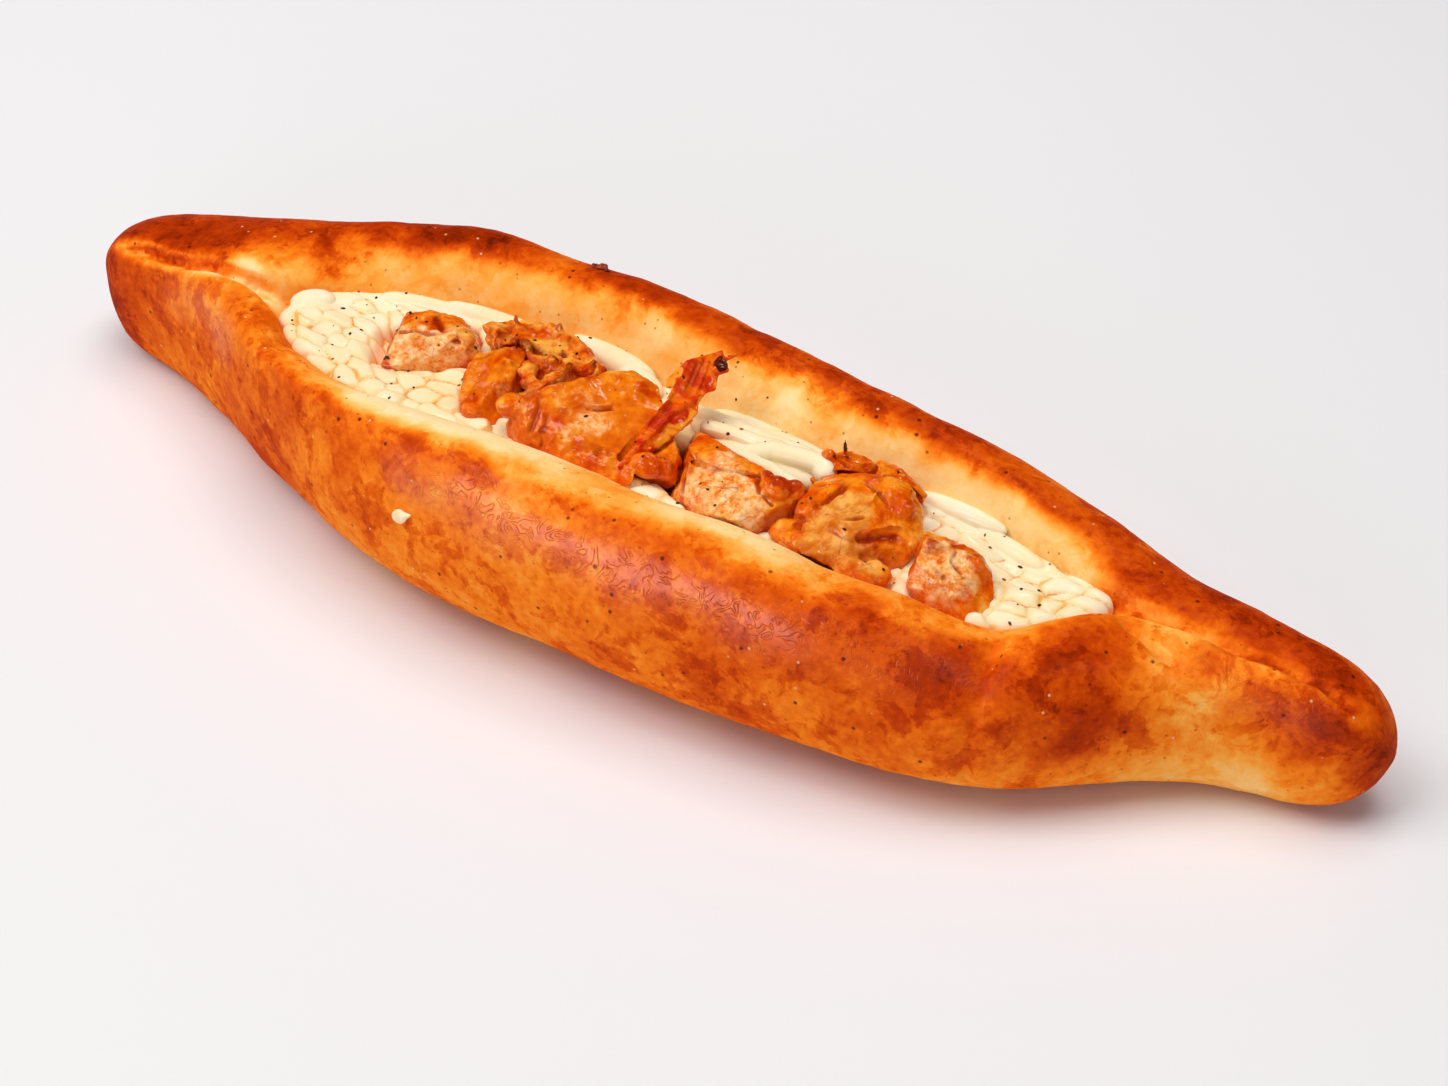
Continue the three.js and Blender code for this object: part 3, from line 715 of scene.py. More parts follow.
def cheese_finish():
    cheese = Finish("melted_cheese")
    oil_and_warm_glow = cheese.value_of("oil_and_warm_glow")
    gap = cheese.total(cheese.value_of("gap"), cheese.scaled(cheese.grain(6, 3), 2, -0.76))
    soft = cheese.grain(8, 3)
    colour = cheese.ramp(soft, [(0.35, (255, 243, 212)), (0.65, (255, 233, 186))])
    # Oil, and a painted warm glow of bounced light in the shade by the ropes
    colour = cheese.layer(colour, oil_and_warm_glow, 0.5, (250, 206, 128))
    # Painted shade: each cell turns yellower towards its border
    border = cheese.span(gap, 1.3, 0)
    colour = cheese.layer(colour, border, 0.5, (252, 208, 120))
    line = cheese.span(gap, 0.42, 0.1)
    colour = cheese.layer(colour, line, 0.7, (246, 168, 50))
    deep = cheese.patch("hollow", cheese.scaled(cheese.grain(4, 3), 0.4, -0.2), 0.14, 0.32)
    colour = cheese.layer(colour, deep, 0.8, (240, 140, 26))
    # Stains of oil at the cell borders, which carry the painted warm glow too
    stain_and_glow = cheese.maths("MULTIPLY", oil_and_warm_glow, cheese.span(cheese.grain(3, 3), 0.4, 0.65))
    stain_and_glow = cheese.maths("MULTIPLY", stain_and_glow, border)
    colour = cheese.layer(colour, stain_and_glow, 1, (240, 156, 40))
    return cheese.done(
        Base_Color=colour,
        Roughness=0.2,
        Specular_IOR_Level=0.5,
        Subsurface_Weight=0.3,
        Subsurface_Radius=(1.0, 0.72, 0.4),
        Subsurface_Scale=1.4 * MM,
    )


def make_cheese():
    cheese = copy_of("cheese", "melted_cheese")
    remesh(cheese, 0.8)
    relax(cheese, 6)
    press(cheese, "fill", np.ones(len(cheese.data.vertices)), 0.3)
    ropes = copies("ropes", ball(24, 12), lumps(ROPES) + strand(LONG_ROPES))
    cheese = join([cheese, ropes], "melted_cheese")
    remesh(cheese, CHEESE_GRID)
    relax(cheese, 3)
    buried = weigh(cheese, "buried", step(BURIED_CHEESE, BURIED_CHEESE - 1, spots(cheese)[:, 2]))
    work(cheese, "DECIMATE", ratio=0.6, vertex_group=buried)
    cheese.vertex_groups.clear()
    store(cheese, "gap", swell_shreds(cheese))
    store(cheese, "hollow", hollows(cheese, 14))
    store(cheese, "oil_and_warm_glow", np.clip(dabs(wander(spots(cheese), 4, 1.5), OIL_AND_WARM_GLOW), 0, 1))
    dress(cheese, cheese_finish(), "cheese", "cheese")
    return cheese


# The meat, onion and pepper

# Tint of the gloss of the oil on the filling, and how rough it is
OIL_SHEEN = (1, 0.88, 0.72, 1)
OIL_ROUGHNESS = 0.14

# Cell sizes of the meshes of the meat, before it is cut and after, of the onion and of the pepper strip
ROUGH_GRID = 0.4
MEAT_GRID = 0.2
ONION_GRID = 0.22
PEPPER_GRID = 0.2

# A fold's drawn width for its listed one
FOLD_SCALE = 0.65

# How each piece is cut and cooked. fibre is the compass turn of its grain and skin how much it is puckered.
# A facet is a flat cut: a point on it and its outward normal.
# A fold is a line in space with a width, a depth (negative for a ridge) and how dark red it is.
# A knob, which the facets cut, and a crown, which they don't, is x, y, z, three radii and a compass turn.
# A stroke is x, y, z, radius and amount: of flesh, which is pale, of amber, which is smooth and golden,
# of tan skin, of dark red glaze or of char. What a piece doesn't have is left out.
MEAT = {
    "chicken_1": {
        "fibre": 30, "skin": 0.3,
        "facets": [((-44, -2.8, 31.2), (0.05, -0.72, 0.69)), ((-50.5, 0, 30.8), (-0.85, -0.3, 0.43))],
        "folds": [
            (
                [(-50, -2, 31.6), (-46.5, 0, 32.2), (-44.3, -0.4, 32.4), (-42, 1.2, 32.4), (-39, 0.4, 32)],
                0.6, 0.6, 0.4,
            ),
            ([(-45.5, 3.8, 32.3), (-43.6, 2, 32.5), (-42.4, 1, 32.4)], 0.7, 0.7, 0.9),
        ],
        "crowns": [(-47, 4, 31.4, 4, 1.8, 1.3, 25), (-40, 3, 31.2, 3, 2, 1.4, -15)],
        "flesh": [(-47.5, -3.5, 31, 4, 0.9), (-43, -3, 31, 4, 0.9), (-39.5, -1.5, 30.8, 3, 0.8)],
        "amber": [(-39.5, 3, 32, 2, 0.5)],
        "tan": [(-39.5, 2.5, 31.8, 3, 1)],
        "glaze": [(-44.6, 3, 32.6, 1.5, 0.9), (-42.6, 1.6, 32.6, 1.1, 0.7)],
        "char": [(-48, 4.5, 32.4, 2, 0.3), (-51, -1, 31, 2, 0.25)],
    },
    "chicken_2": {
        "fibre": 70, "skin": 0.1,
        "facets": [((-30, -6.5, 31.6), (-0.35, -0.55, 0.76)), ((-27, -7, 31), (0.75, -0.5, 0.43))],
        "folds": [([(-33.4, -2.4, 33), (-31, -1.4, 33.4), (-28.4, -2.4, 33.4)], 0.6, 0.5, 0.6)],
        "crowns": [(-29.5, -10.4, 28.6, 1.8, 1.6, 1.6, 0)],
        "flesh": [(-26.2, -6, 31, 2, 0.4)],
        "amber": [(-30.5, -6, 32, 4, 0.9)],
        "glaze": [(-28.5, -2.8, 33.6, 1, 0.5)],
    },
    "chicken_3": {
        "fibre": 12, "skin": 0.2,
        "facets": [
            ((-4.5, -1.2, 34.9), (0.25, -0.33, 0.91)),
            ((-13, -6, 35.4), (0.16, -0.14, 0.98)),
            ((-9.5, -11, 32.9), (0.1, -0.85, 0.5)),
            ((-15, -3.7, 36), (-0.78, 0.55, 0.3)),
        ],
        "folds": [
            (
                [(-14.3, -11.4, 34.5), (-13.3, -10.6, 34.8), (-10.1, -7.9, 34.7), (-6.6, -5.2, 34.5)],
                0.5, 0.7, 0.25,
            ),
            ([(-14.6, -11, 34.8), (-10.6, -7.2, 35), (-7, -4.6, 34.8)], 0.5, -0.35, 0),
            ([(-13.1, -10.8, 34.7), (-12.6, -12.1, 33), (-13.2, -12.6, 29.8)], 0.4, -0.4, 0),
            ([(-14.4, -11.2, 34.6), (-14.8, -12.7, 32), (-15, -13, 29)], 0.5, 0.6, 0.8),
            ([(-19.5, -7, 35.6), (-17.3, -8.8, 35.4), (-16.4, -11, 34.6), (-17, -13, 31)], 0.6, 0.6, 0.35),
            ([(-9.6, -9.6, 34), (-7.4, -8.8, 33.8), (-5.6, -9, 33.2)], 0.4, 0.3, 0.2),
        ],
        "knobs": [(-9, -13.2, 29, 5, 2.2, 2.8, 4), (-2.5, -13, 28.8, 4.5, 2.2, 2.6, 8)],
        "crowns": [
            (-21.5, -10, 32.4, 3, 2.4, 2.2, 20), (2.5, -9.5, 29.5, 3.4, 2, 2.2, 10),
            (5, -8.5, 29, 2, 1.6, 2, 0),
        ],
        "flesh": [(-12, -7, 35.2, 4.4, 0.3), (-7, -8.7, 34, 4.2, 0.32), (-19.5, -10.5, 34.5, 2.2, 0.35)],
        "amber": [
            (-2, -4, 34, 4.5, 1.2), (-3.5, -10, 31.5, 3.5, 1), (-8, -1.5, 35.5, 3, 0.6),
            (-12, -7, 35, 6, 0.6), (-7, -7, 34.5, 6, 0.6),
        ],
        "glaze": [(-14.6, -12.6, 32, 1.2, 0.8), (-8.5, -8, 34.4, 0.9, 0.5), (3, -9, 31, 2, 0.3)],
    },
    "chicken_4": {
        "fibre": -20, "skin": 0.2,
        "facets": [
            ((17, -12, 30.7), (-0.12, -0.42, 0.9)),
            ((8.2, -8, 29.8), (-0.85, -0.35, 0.4)),
            ((14.2, -3, 32.6), (0.2, 0.75, 0.63)),
        ],
        "folds": [
            ([(7.5, -6.2, 31.3), (12.4, -8, 31.6), (16.1, -7.4, 32.2), (20.4, -6.6, 32.5)], 0.6, 0.9, 0.5),
            ([(6.3, -4.5, 31.3), (6.9, -6, 30.8), (8.6, -9, 29.8), (9.4, -11.4, 28.6)], 0.5, 0.5, 0.7),
            ([(20.8, -6.8, 32.4), (22, -9, 31.6), (24.6, -9.6, 30.6)], 0.5, 0.6, 0.6),
            ([(16, -10, 31.2), (18.5, -9.4, 31.6), (19.5, -10.6, 31.2)], 0.3, 0.25, 0.5),
        ],
        "knobs": [(8, -7.5, 30, 1.8, 2.4, 2.4, 0)],
        "crowns": [
            (14, -5.2, 31.5, 7.5, 2.4, 1.4, -8), (24, -7, 32, 2.7, 2.1, 1.8, 0),
            (26.2, -5.6, 31.6, 2, 1.7, 1.5, 0), (21.8, -6, 32.4, 1.5, 1.2, 1.1, 0),
        ],
        "flesh": [
            (13, -11.4, 30.4, 3.6, 1.1), (17.5, -12.5, 30.6, 4, 1.2), (21.5, -13, 30.2, 3, 1),
            (16.5, -9.4, 31.4, 2.6, 0.9), (13.5, -4, 33, 2.2, 0.5),
        ],
        "amber": [(7.5, -7.5, 30.5, 2.4, 0.8), (25, -10.5, 29.5, 2.6, 0.7)],
        "glaze": [
            (24, -6.8, 33, 2, 0.9), (26.4, -5.6, 32.6, 1.6, 0.8), (21.8, -6, 33.2, 1, 0.7),
            (7, -5, 31.4, 1, 0.6),
        ],
        "char": [(22, -5.4, 33.4, 0.8, 0.6), (9, -2.5, 32.6, 1.4, 0.3)],
    },
    "chicken_5": {
        "fibre": 20, "skin": 0.5,
        "folds": [
            ([(40.4, -10.8, 30.9), (42.5, -9, 30.8), (44.6, -6.8, 30.1)], 0.9, 0.8, 0.75),
            (
                [
                    (33.5, -9.2, 32.3), (36, -8.3, 32.7), (38.2, -6.6, 33), (38.9, -4.6, 33.4),
                    (38.7, -2.5, 33.8),
                ],
                0.45, -0.4, 0,
            ),
            ([(33.8, -10.2, 32.2), (36.4, -9.2, 32.6), (39, -7.4, 32.8)], 0.4, 0.5, 0.25),
            ([(39.5, -10.2, 31.6), (40.5, -9.6, 31.7), (42.3, -7.6, 31.6), (44.3, -4.8, 31)], 0.6, -0.6, 0),
            ([(40.2, -5.6, 33), (41.6, -6.4, 32.2), (41, -8, 32)], 0.4, -0.4, 0),
            ([(35.5, -11.5, 31.9), (38, -12.3, 31.4), (40, -12, 30.9)], 0.5, 0.5, 0.3),
            ([(29.4, -9.8, 31), (31.5, -9.2, 32), (32.7, -6.5, 32.9), (33.5, -3, 33.7)], 0.6, 0.7, 0.6),
            ([(35.5, -0.8, 34.2), (38.2, -2.2, 34), (40.2, -2.6, 33.4), (42.6, -4.4, 32)], 0.4, 0.6, 0.4),
            ([(39.5, 1.6, 34), (40.6, 0, 34), (41.4, -2, 33.2)], 0.35, 0.4, 0.3),
            ([(42.4, 1, 33), (42, -0.6, 33.2), (42.6, -2.6, 32.4)], 0.35, 0.35, 0.3),
        ],
        "knobs": [(41.5, -14.2, 27.4, 4, 2.4, 2.6, -15), (44, -12.5, 27, 3, 2.2, 2.4, 0)],
        "crowns": [
            (40.5, 0.2, 33, 3.4, 2.4, 1.8, 0), (43.2, -1.6, 32, 2.2, 2.2, 2, 0),
            (30.5, -8.5, 31, 2.4, 2, 1.8, 30), (28.5, -11.5, 28, 3, 2.4, 2.4, 0),
            (31, -13.5, 28.4, 2.5, 2, 2.2, 0),
        ],
        "flesh": [(37, -11, 32, 2, 0.3), (35, -13.5, 31, 2, 0.3)],
        "amber": [(44.5, -9, 26.5, 4, 1), (41, 0, 34, 2.5, 0.5)],
        "glaze": [
            (42.5, -9.4, 30.6, 1.1, 0.7), (44.2, -7.3, 30, 1, 0.6),
            (31.5, -8.4, 32.6, 1.4, 0.6), (30.5, -11, 30.4, 1.4, 0.6), (42, -3.6, 32.6, 1.2, 0.5),
        ],
        "tan": [
            (36, -11, 32, 4, 1), (36.5, -6.5, 33.4, 3, 0.9), (35, -14, 30.5, 3, 0.9),
            (41, -13, 28.5, 4, 0.8),
        ],
        "char": [(39, -2, 34, 1, 0.4)],
    },
    "chicken_6": {
        "fibre": 40, "skin": 0.2,
        "facets": [
            ((53, -12, 30), (-0.15, -0.88, 0.45)),
            ((53, -9, 31.4), (0.1, -0.3, 0.95)),
            ((58, -9, 29.5), (0.75, -0.35, 0.55)),
            ((49.3, -10, 30), (-0.9, -0.3, 0.3)),
        ],
        "folds": [
            ([(54.3, -6.6, 31.7), (54.8, -8.6, 31.4), (56.8, -9.4, 30.6)], 0.5, 0.5, 0.4),
            ([(50, -9.6, 32.2), (52.6, -10.8, 31.4), (55.4, -12, 29.8)], 0.5, 0.4, 0.3),
        ],
        "crowns": [
            (50.8, -7.8, 32, 1.8, 1.3, 1.2, 0), (56.8, -6.6, 30.6, 2.2, 1.3, 1.1, -10),
            (52.5, -6.5, 31.8, 1.2, 1, 0.9, 0),
        ],
        "flesh": [(54, -9.4, 31.6, 4, 0.5), (56, -11, 30.2, 4.4, 0.5), (52.4, -12.4, 28.4, 4, 0.45)],
        "amber": [(49.8, -11.4, 30.6, 2.4, 0.8), (59, -9, 28.6, 2, 0.6)],
        "tan": [(54, -10, 31, 5, 0.7)],
        "glaze": [
            (50.8, -7.8, 33.4, 1.5, 0.9), (56.8, -6.6, 31.8, 1.2, 0.8), (53.2, -12.2, 30.2, 1.4, 0.55),
        ],
        "char": [(51, -7.4, 33.6, 0.7, 0.5), (57.4, -9.6, 30.2, 0.7, 0.6)],
    },
    "chicken_7": {
        "fibre": 0, "skin": 0.4,
        "folds": [([(27.6, 3, 32.4), (29, 3.4, 33), (31, 2.6, 32.4)], 0.5, 0.6, 0.8)],
        "crowns": [(29.4, 4.8, 33.8, 0.6, 0.5, 1.8, 0), (27.5, 3.4, 32.2, 1.6, 1.2, 1.4, 0)],
        "glaze": [(30, 3.6, 32.5, 4, 0.45)],
        "char": [(29.4, 4.8, 34.7, 1.5, 1.4)],
    },
    "chicken_8": {
        "fibre": 50, "skin": 0.4,
        "amber": [(38, 4, 32, 3, 0.5)],
        "glaze": [(38, 5, 31, 2, 0.3)],
    },
}


def lumps(listed):
    """Placements for lumps: x, y, z, three radii, a compass turn and, for some, the long axis's rise."""
    placements = []
    for x, y, z, wide, deep, tall, turn, *rise in listed:
        tilt = -math.radians(rise[0]) if rise else 0
        spin = Euler((0, tilt, math.radians(turn))).to_matrix()
        placements.append(((wide, deep, tall), 0, spin, Vector((x, y, z))))
    return placements


def strand(lines):
    """Placements of balls that overlap along polylines, each with a radius, for ropes and ribbons."""
    placements = []
    for line, radius in lines:
        for start, end in zip(line[:-1], line[1:]):
            run = Vector(end) - Vector(start)
            count = math.ceil(run.length / (0.5 * radius))
            for index in range(count):
                place = Vector(start) + run * index / count
                placements.append(((radius, radius, radius), 0, Matrix.Identity(3), place))
    return placements


def flap(name, corners, thickness):
    """A flat flap with the given corners."""
    mesh = bpy.data.meshes.new(name)
    mesh.from_pydata([Vector(corner) * MM for corner in corners], [], [list(range(len(corners)))])
    piece = bpy.data.objects.new(name, mesh)
    bpy.context.scene.collection.objects.link(piece)
    work(piece, "SOLIDIFY", thickness=thickness * MM, offset=0)
    return piece


def fibre_guide(turn, stretch):
    """An empty whose X axis runs along the fibres and is stretched, for texture coordinates."""
    bpy.ops.object.empty_add(rotation=(0, math.radians(8), math.radians(turn)))
    guide = bpy.context.active_object
    guide.scale = (stretch, 1, 1)
    bpy.context.view_layer.update()
    return guide


def oiled(finish, colour, normal, depth, radius, scale):
    """Ends a finish of the filling with the gloss of its oil and the light that sinks into it."""
    return finish.done(
        Base_Color=colour,
        Roughness=OIL_ROUGHNESS,
        Normal=normal,
        Specular_IOR_Level=0.5,
        Specular_Tint=OIL_SHEEN,
        Subsurface_Weight=depth,
        Subsurface_Radius=radius,
        Subsurface_Scale=scale * MM,
    )


def chicken_finish():
    chicken = Finish("grilled_chicken")
    hollow = chicken.value_of("hollow")
    mottle = chicken.grain(4, 4, 0.6)
    small = chicken.grain(1.3, 3, 0.6)
    marinade = chicken.ramp(chicken.total(chicken.scaled(mottle, 0.8), chicken.scaled(small, 0.2)), [
        (0.35, (200, 58, 2)), (0.43, (222, 84, 2)), (0.5, (236, 110, 6)), (0.57, (246, 138, 20)),
        (0.68, (254, 188, 80)),
    ])
    flesh = chicken.ramp(chicken.grain(1.6, 4, 0.7), [
        (0.36, (236, 112, 22)), (0.45, (248, 160, 76)), (0.54, (253, 192, 124)), (0.7, (255, 224, 182)),
    ])
    skin = chicken.ramp(mottle, [(0.36, (204, 100, 18)), (0.5, (226, 138, 46)), (0.62, (248, 180, 88))])
    amber = chicken.ramp(mottle, [(0.36, (218, 92, 3)), (0.5, (236, 120, 8)), (0.64, (250, 156, 36))])
    ragged = chicken.total(chicken.scaled(mottle, 1, -0.5), chicken.scaled(small, 0.3, -0.15))
    colour = chicken.layer(marinade, chicken.patch("amber", ragged, 0.2, 0.6), 0.8, amber)
    colour = chicken.layer(colour, chicken.patch("tan", ragged, 0.2, 0.6), 0.85, skin)
    colour = chicken.layer(colour, chicken.patch("flesh", ragged, 0.2, 0.5), 1, flesh)
    tattered = chicken.total(ragged, chicken.scaled(small, 0.8, -0.4))
    colour = chicken.layer(colour, chicken.patch("glaze", tattered, 0.3, 0.65), 0.85, (172, 32, 3))
    # Painted shade in the hollows and painted highlight on the ridges
    painted_hollow_shade = chicken.span(hollow, 0.05, 0.3)
    colour = chicken.layer(colour, painted_hollow_shade, 0.6, (176, 46, 3))
    painted_ridge_highlight = chicken.span(hollow, -0.1, -0.4)
    colour = chicken.layer(colour, painted_ridge_highlight, 0.4, (255, 186, 92))
    winding = chicken.scaled(chicken.grain(6, 3, 0.6, 0.6), 1, -0.5)
    vein = chicken.span(chicken.maths("ABSOLUTE", winding), 0.022, 0.006)
    vein = chicken.maths("MULTIPLY", vein, chicken.span(chicken.grain(3, 2), 0.42, 0.56))
    colour = chicken.layer(colour, vein, 0.45, (206, 74, 6))
    colour = chicken.layer(colour, chicken.value_of("fold"), 1, (150, 28, 3))
    colour = chicken.layer(colour, chicken.patch("char", ragged, 0.3, 0.75), 0.9, (54, 16, 8))
    # Pale dots: painted glints on small beads of oil, which the bump raises
    drop_glints = chicken.dots(1.5, 0.2, 0.35)
    colour = chicken.layer(colour, drop_glints, 0.6, (255, 222, 178))
    normal = chicken.bump(small, 0.06)
    normal = chicken.bump(vein, -0.04, normal)
    normal = chicken.bump(drop_glints, 0.1, normal)
    return oiled(chicken, colour, normal, 0.2, (1.0, 0.4, 0.14), 1.2)


def fold_tint(piece, folds):
    """How dark red each vertex is from the folds that it lies in."""
    places = wander(spots(piece), *CREASE_WANDER)
    tint = np.zeros(len(places))
    for line, width, _, amount in folds:
        tint = np.maximum(tint, amount * along(places, line, width))
    return tint


def make_chicken(node, finish):
    meat = MEAT[node]
    chunk = copy_of(node, f"grilled_{node}")
    if "knobs" in meat:
        knobs = copies("torn_bits", ball(16, 10), lumps(meat["knobs"]))
        chunk = join([chunk, knobs], chunk.name)
        remesh(chunk, ROUGH_GRID)
    slice_off(chunk, meat.get("facets", []))
    if "crowns" in meat:
        crowns = copies("crowns", ball(16, 10), lumps(meat["crowns"]))
        chunk = join([chunk, crowns], chunk.name)
    remesh(chunk, MEAT_GRID)
    relax(chunk, 3)
    displace(chunk, cloud("lumps", 3, 1), 0.5)
    folds = [(line, FOLD_SCALE * width, depth, tint) for line, width, depth, tint in meat.get("folds", [])]
    tint = fold_tint(chunk, folds)
    crease(chunk, folds)
    store(chunk, "fold", tint)
    guide = fibre_guide(meat["fibre"], 3)
    settings = {"texture_coords": "OBJECT", "texture_coords_object": guide}
    work(chunk, "DISPLACE", texture=creased("folds", 4, 1), strength=1.2 * meat["skin"] * MM, **settings)
    work(chunk, "DISPLACE", texture=cloud("fibres", 1.4, 1), strength=0.16 * MM, **settings)
    bpy.data.objects.remove(guide)
    torn = weigh(chunk, "torn", np.clip(1 - dabs(spots(chunk), meat.get("amber", [])), 0.1, 1))
    displace(chunk, creased("crags", 2, 1), 0.3, vertex_group=torn)
    chunk.vertex_groups.clear()
    places = wander(spots(chunk), 2.5, 0.8)
    for name in ("flesh", "amber", "tan", "glaze", "char"):
        store(chunk, name, dabs(places, meat.get(name, [])))
    store(chunk, "hollow", hollows(chunk, 22))
    dress(chunk, finish, "chicken", node)
    return chunk


def onion_finish():
    onion = Finish("browned_onion")
    mottle = onion.grain(3.5, 4, 0.6)
    colour = onion.ramp(mottle, [(0.36, (204, 58, 2)), (0.48, (234, 106, 8)), (0.62, (252, 172, 66))])
    rim = onion.patch("hollow", onion.scaled(mottle, 0.8, -0.4), -0.16, -0.42)
    colour = onion.layer(colour, rim, 0.6, (172, 30, 2))
    # Painted shade in the hollows
    painted_hollow_shade = onion.span(onion.value_of("hollow"), 0.08, 0.3)
    colour = onion.layer(colour, painted_hollow_shade, 0.5, (180, 48, 4))
    colour = onion.layer(colour, onion.value_of("fold"), 1, (128, 16, 2))
    normal = onion.bump(onion.grain(1.2, 3), 0.08)
    return oiled(onion, colour, normal, 0.12, (1.0, 0.4, 0.14), 1.4)


# Curled ends of the onion: x, y, z, three radii and a compass turn
CURLS = [
    (-34.2, 4.4, 32.4, 2, 1.9, 1.9, 0), (-31.6, 7, 33.2, 1.6, 1.2, 1.2, 40),
    (-27, 9.4, 32.8, 2.8, 1.5, 1.3, 0), (-23.5, 8, 33, 2, 1.7, 1.5, 40),
    (-20, 4, 32.6, 2.6, 1.4, 1.2, -20), (-16.6, 2.6, 33.6, 2.6, 1.5, 1.2, 25),
    (-32.2, 7.3, 34.6, 0.8, 0.6, 1.5, 0), (-25, 9.3, 34.4, 0.8, 0.6, 1.2, 0),
    (-15.2, 3.8, 34.4, 0.7, 0.6, 1.2, 0), (-35.2, 3.4, 34, 0.7, 0.6, 0.9, 0),
    (-22.6, -3.6, 32.6, 2, 1.6, 1.6, 0), (-24.6, -1, 32.6, 2, 1.8, 1.6, 0),
    (-18.6, -2.2, 33.2, 2.8, 2.2, 1.8, 40), (-20, -5.4, 33, 2.4, 2, 1.8, 40),
    (-21.4, -8, 32, 1.8, 1.8, 1.8, 0),
]

# Ribbons of onion skin: line and radius
ONION_RIBBONS = [
    ([(-18, 1, 34.2), (-17, -2.4, 34.8), (-17.6, -5, 34.8), (-18.8, -7.4, 34.4), (-20.4, -9.2, 33.4)], 0.75),
    (
        [(-20.1, 1.4, 34.2), (-20.7, 2.5, 34.2), (-21.9, 2.7, 34.2), (-22.8, 1.8, 34.2), (-22.6, 0.6, 34.1)],
        0.45,
    ),
    ([(-33, 2.6, 34.2), (-32.4, 0.6, 34), (-30.6, -1, 33.6), (-28.4, -1.4, 33.4)], 0.5),
]

# Creases and ribs of the onion: line, width, depth and how dark red
ONION_FOLDS = [
    (
        [(-32.6, 3.9, 33.9), (-30.4, 4, 33.9), (-26.8, 3.6, 33.8), (-24.5, 3.3, 33.7), (-21.3, 4.7, 33.5)],
        0.6, 1, 0.95,
    ),
    ([(-32.6, 3.6, 33.6), (-32.2, 5.4, 33.8), (-33, 6.6, 33.6)], 0.5, 0.7, 0.6),
    (
        [(-18, 1, 34.4), (-17, -2.4, 35), (-17.6, -5, 35), (-18.8, -7.4, 34.6), (-20.4, -9.2, 33.6)],
        1, 0, 0.8,
    ),
    ([(-22, 5, 33.6), (-21.4, 2.6, 33.3), (-23.4, 0.4, 32.8), (-27, -0.4, 32.6)], 0.5, -0.5, 0.9),
    ([(-27.4, 3.4, 33.6), (-25.4, 2.4, 33.4), (-24.6, 0.8, 33)], 0.5, 0.5, 0.3),
    ([(-30.4, 3.2, 33.6), (-29, 1.4, 33.2)], 0.5, 0.5, 0.4),
    ([(-15.2, 3.8, 34.2), (-15.2, 3.8, 35.6)], 0.9, 0, 0.7),
    ([(-32.2, 7.3, 34.4), (-32.2, 7.3, 36)], 0.9, 0, 0.5),
    ([(-25, 9.3, 34.4), (-25, 9.3, 35.6)], 0.9, 0, 0.6),
]


def make_onion():
    onion = copy_of("onion_1", "browned_onion")
    curls = copies("curls", ball(16, 10), lumps(CURLS))
    ribbons = copies("ribbons", ball(12, 8), strand(ONION_RIBBONS))
    onion = join([onion, curls, ribbons], "browned_onion")
    remesh(onion, ONION_GRID)
    relax(onion, 2)
    displace(onion, creased("onion_layers", 4, 1), 0.9)
    tint = fold_tint(onion, ONION_FOLDS)
    crease(onion, ONION_FOLDS)
    store(onion, "fold", tint)
    displace(onion, creased("onion_lumps", 1.8, 1), 0.4)
    store(onion, "hollow", hollows(onion, 24))
    dress(onion, onion_finish(), "onion", "onion_1")
    return onion


def pepper_finish():
    pepper = Finish("roasted_pepper")
    streaks = pepper.grain(1.4, 4, 0.6, place=pepper.stretched((0, 0, -70), (0.25, 1, 0.6)))
    colour = pepper.ramp(streaks, [(0.36, (190, 30, 1)), (0.5, (220, 62, 2)), (0.64, (242, 112, 8))])
    ragged = pepper.scaled(streaks, 0.6, -0.3)
    colour = pepper.layer(colour, pepper.patch("flesh", ragged, 0.3, 0.6), 1, (248, 150, 32))
    edge = pepper.span(pepper.value_of("hollow"), -0.2, -0.5)
    colour = pepper.layer(colour, edge, 0.5, (160, 24, 3))
    colour = pepper.layer(colour, pepper.value_of("fold"), 1, (128, 12, 2))
    char = pepper.patch("char", pepper.scaled(ragged, 0.5), 0.5, 0.65)
    colour = pepper.layer(colour, char, 0.95, (66, 8, 4))
    normal = pepper.bump(streaks, 0.07)
    return oiled(pepper, colour, normal, 0.12, (1.0, 0.3, 0.1), 1.4)


# The flat upper part of the pepper strip, the flap behind it and its folded tip, by their corners
PEPPER_SHEET = [
    (1.1, -0.7, 36.5), (1.7, 1.5, 37.9), (1.4, 4.5, 40.5), (3.7, 6.8, 41), (5.5, 8.6, 41.4),
    (7.6, 7, 38.9), (6.4, 5.7, 38.5), (6.9, 4.1, 37), (5.8, 2.9, 36.6), (5.4, 1.3, 35.5),
    (5.8, 0.2, 34.4), (5.3, -1.1, 33.7), (4.6, -2.8, 32.7), (2.3, -3.7, 33.3), (0.7, -3.9, 34.1),
    (1.3, -2, 35.3),
]
PEPPER_FLAP = [(-0.4, 1.1, 38.2), (1.2, 4.7, 40.2), (2.3, 3.1, 38.9), (2.4, 1.6, 37.5), (0.1, 0.3, 37.3)]
PEPPER_TIP = [(5.4, 5.1, 39.7), (6.2, 8, 41.1), (7.8, 6.8, 39.1), (6.8, 5.5, 38.9)]

# Where the sheet takes over from the strip's lower half: a point and the way up the strip
PEPPER_CUT = ((3.6, -0.5, 35), (0.2, 0.82, 0.54))

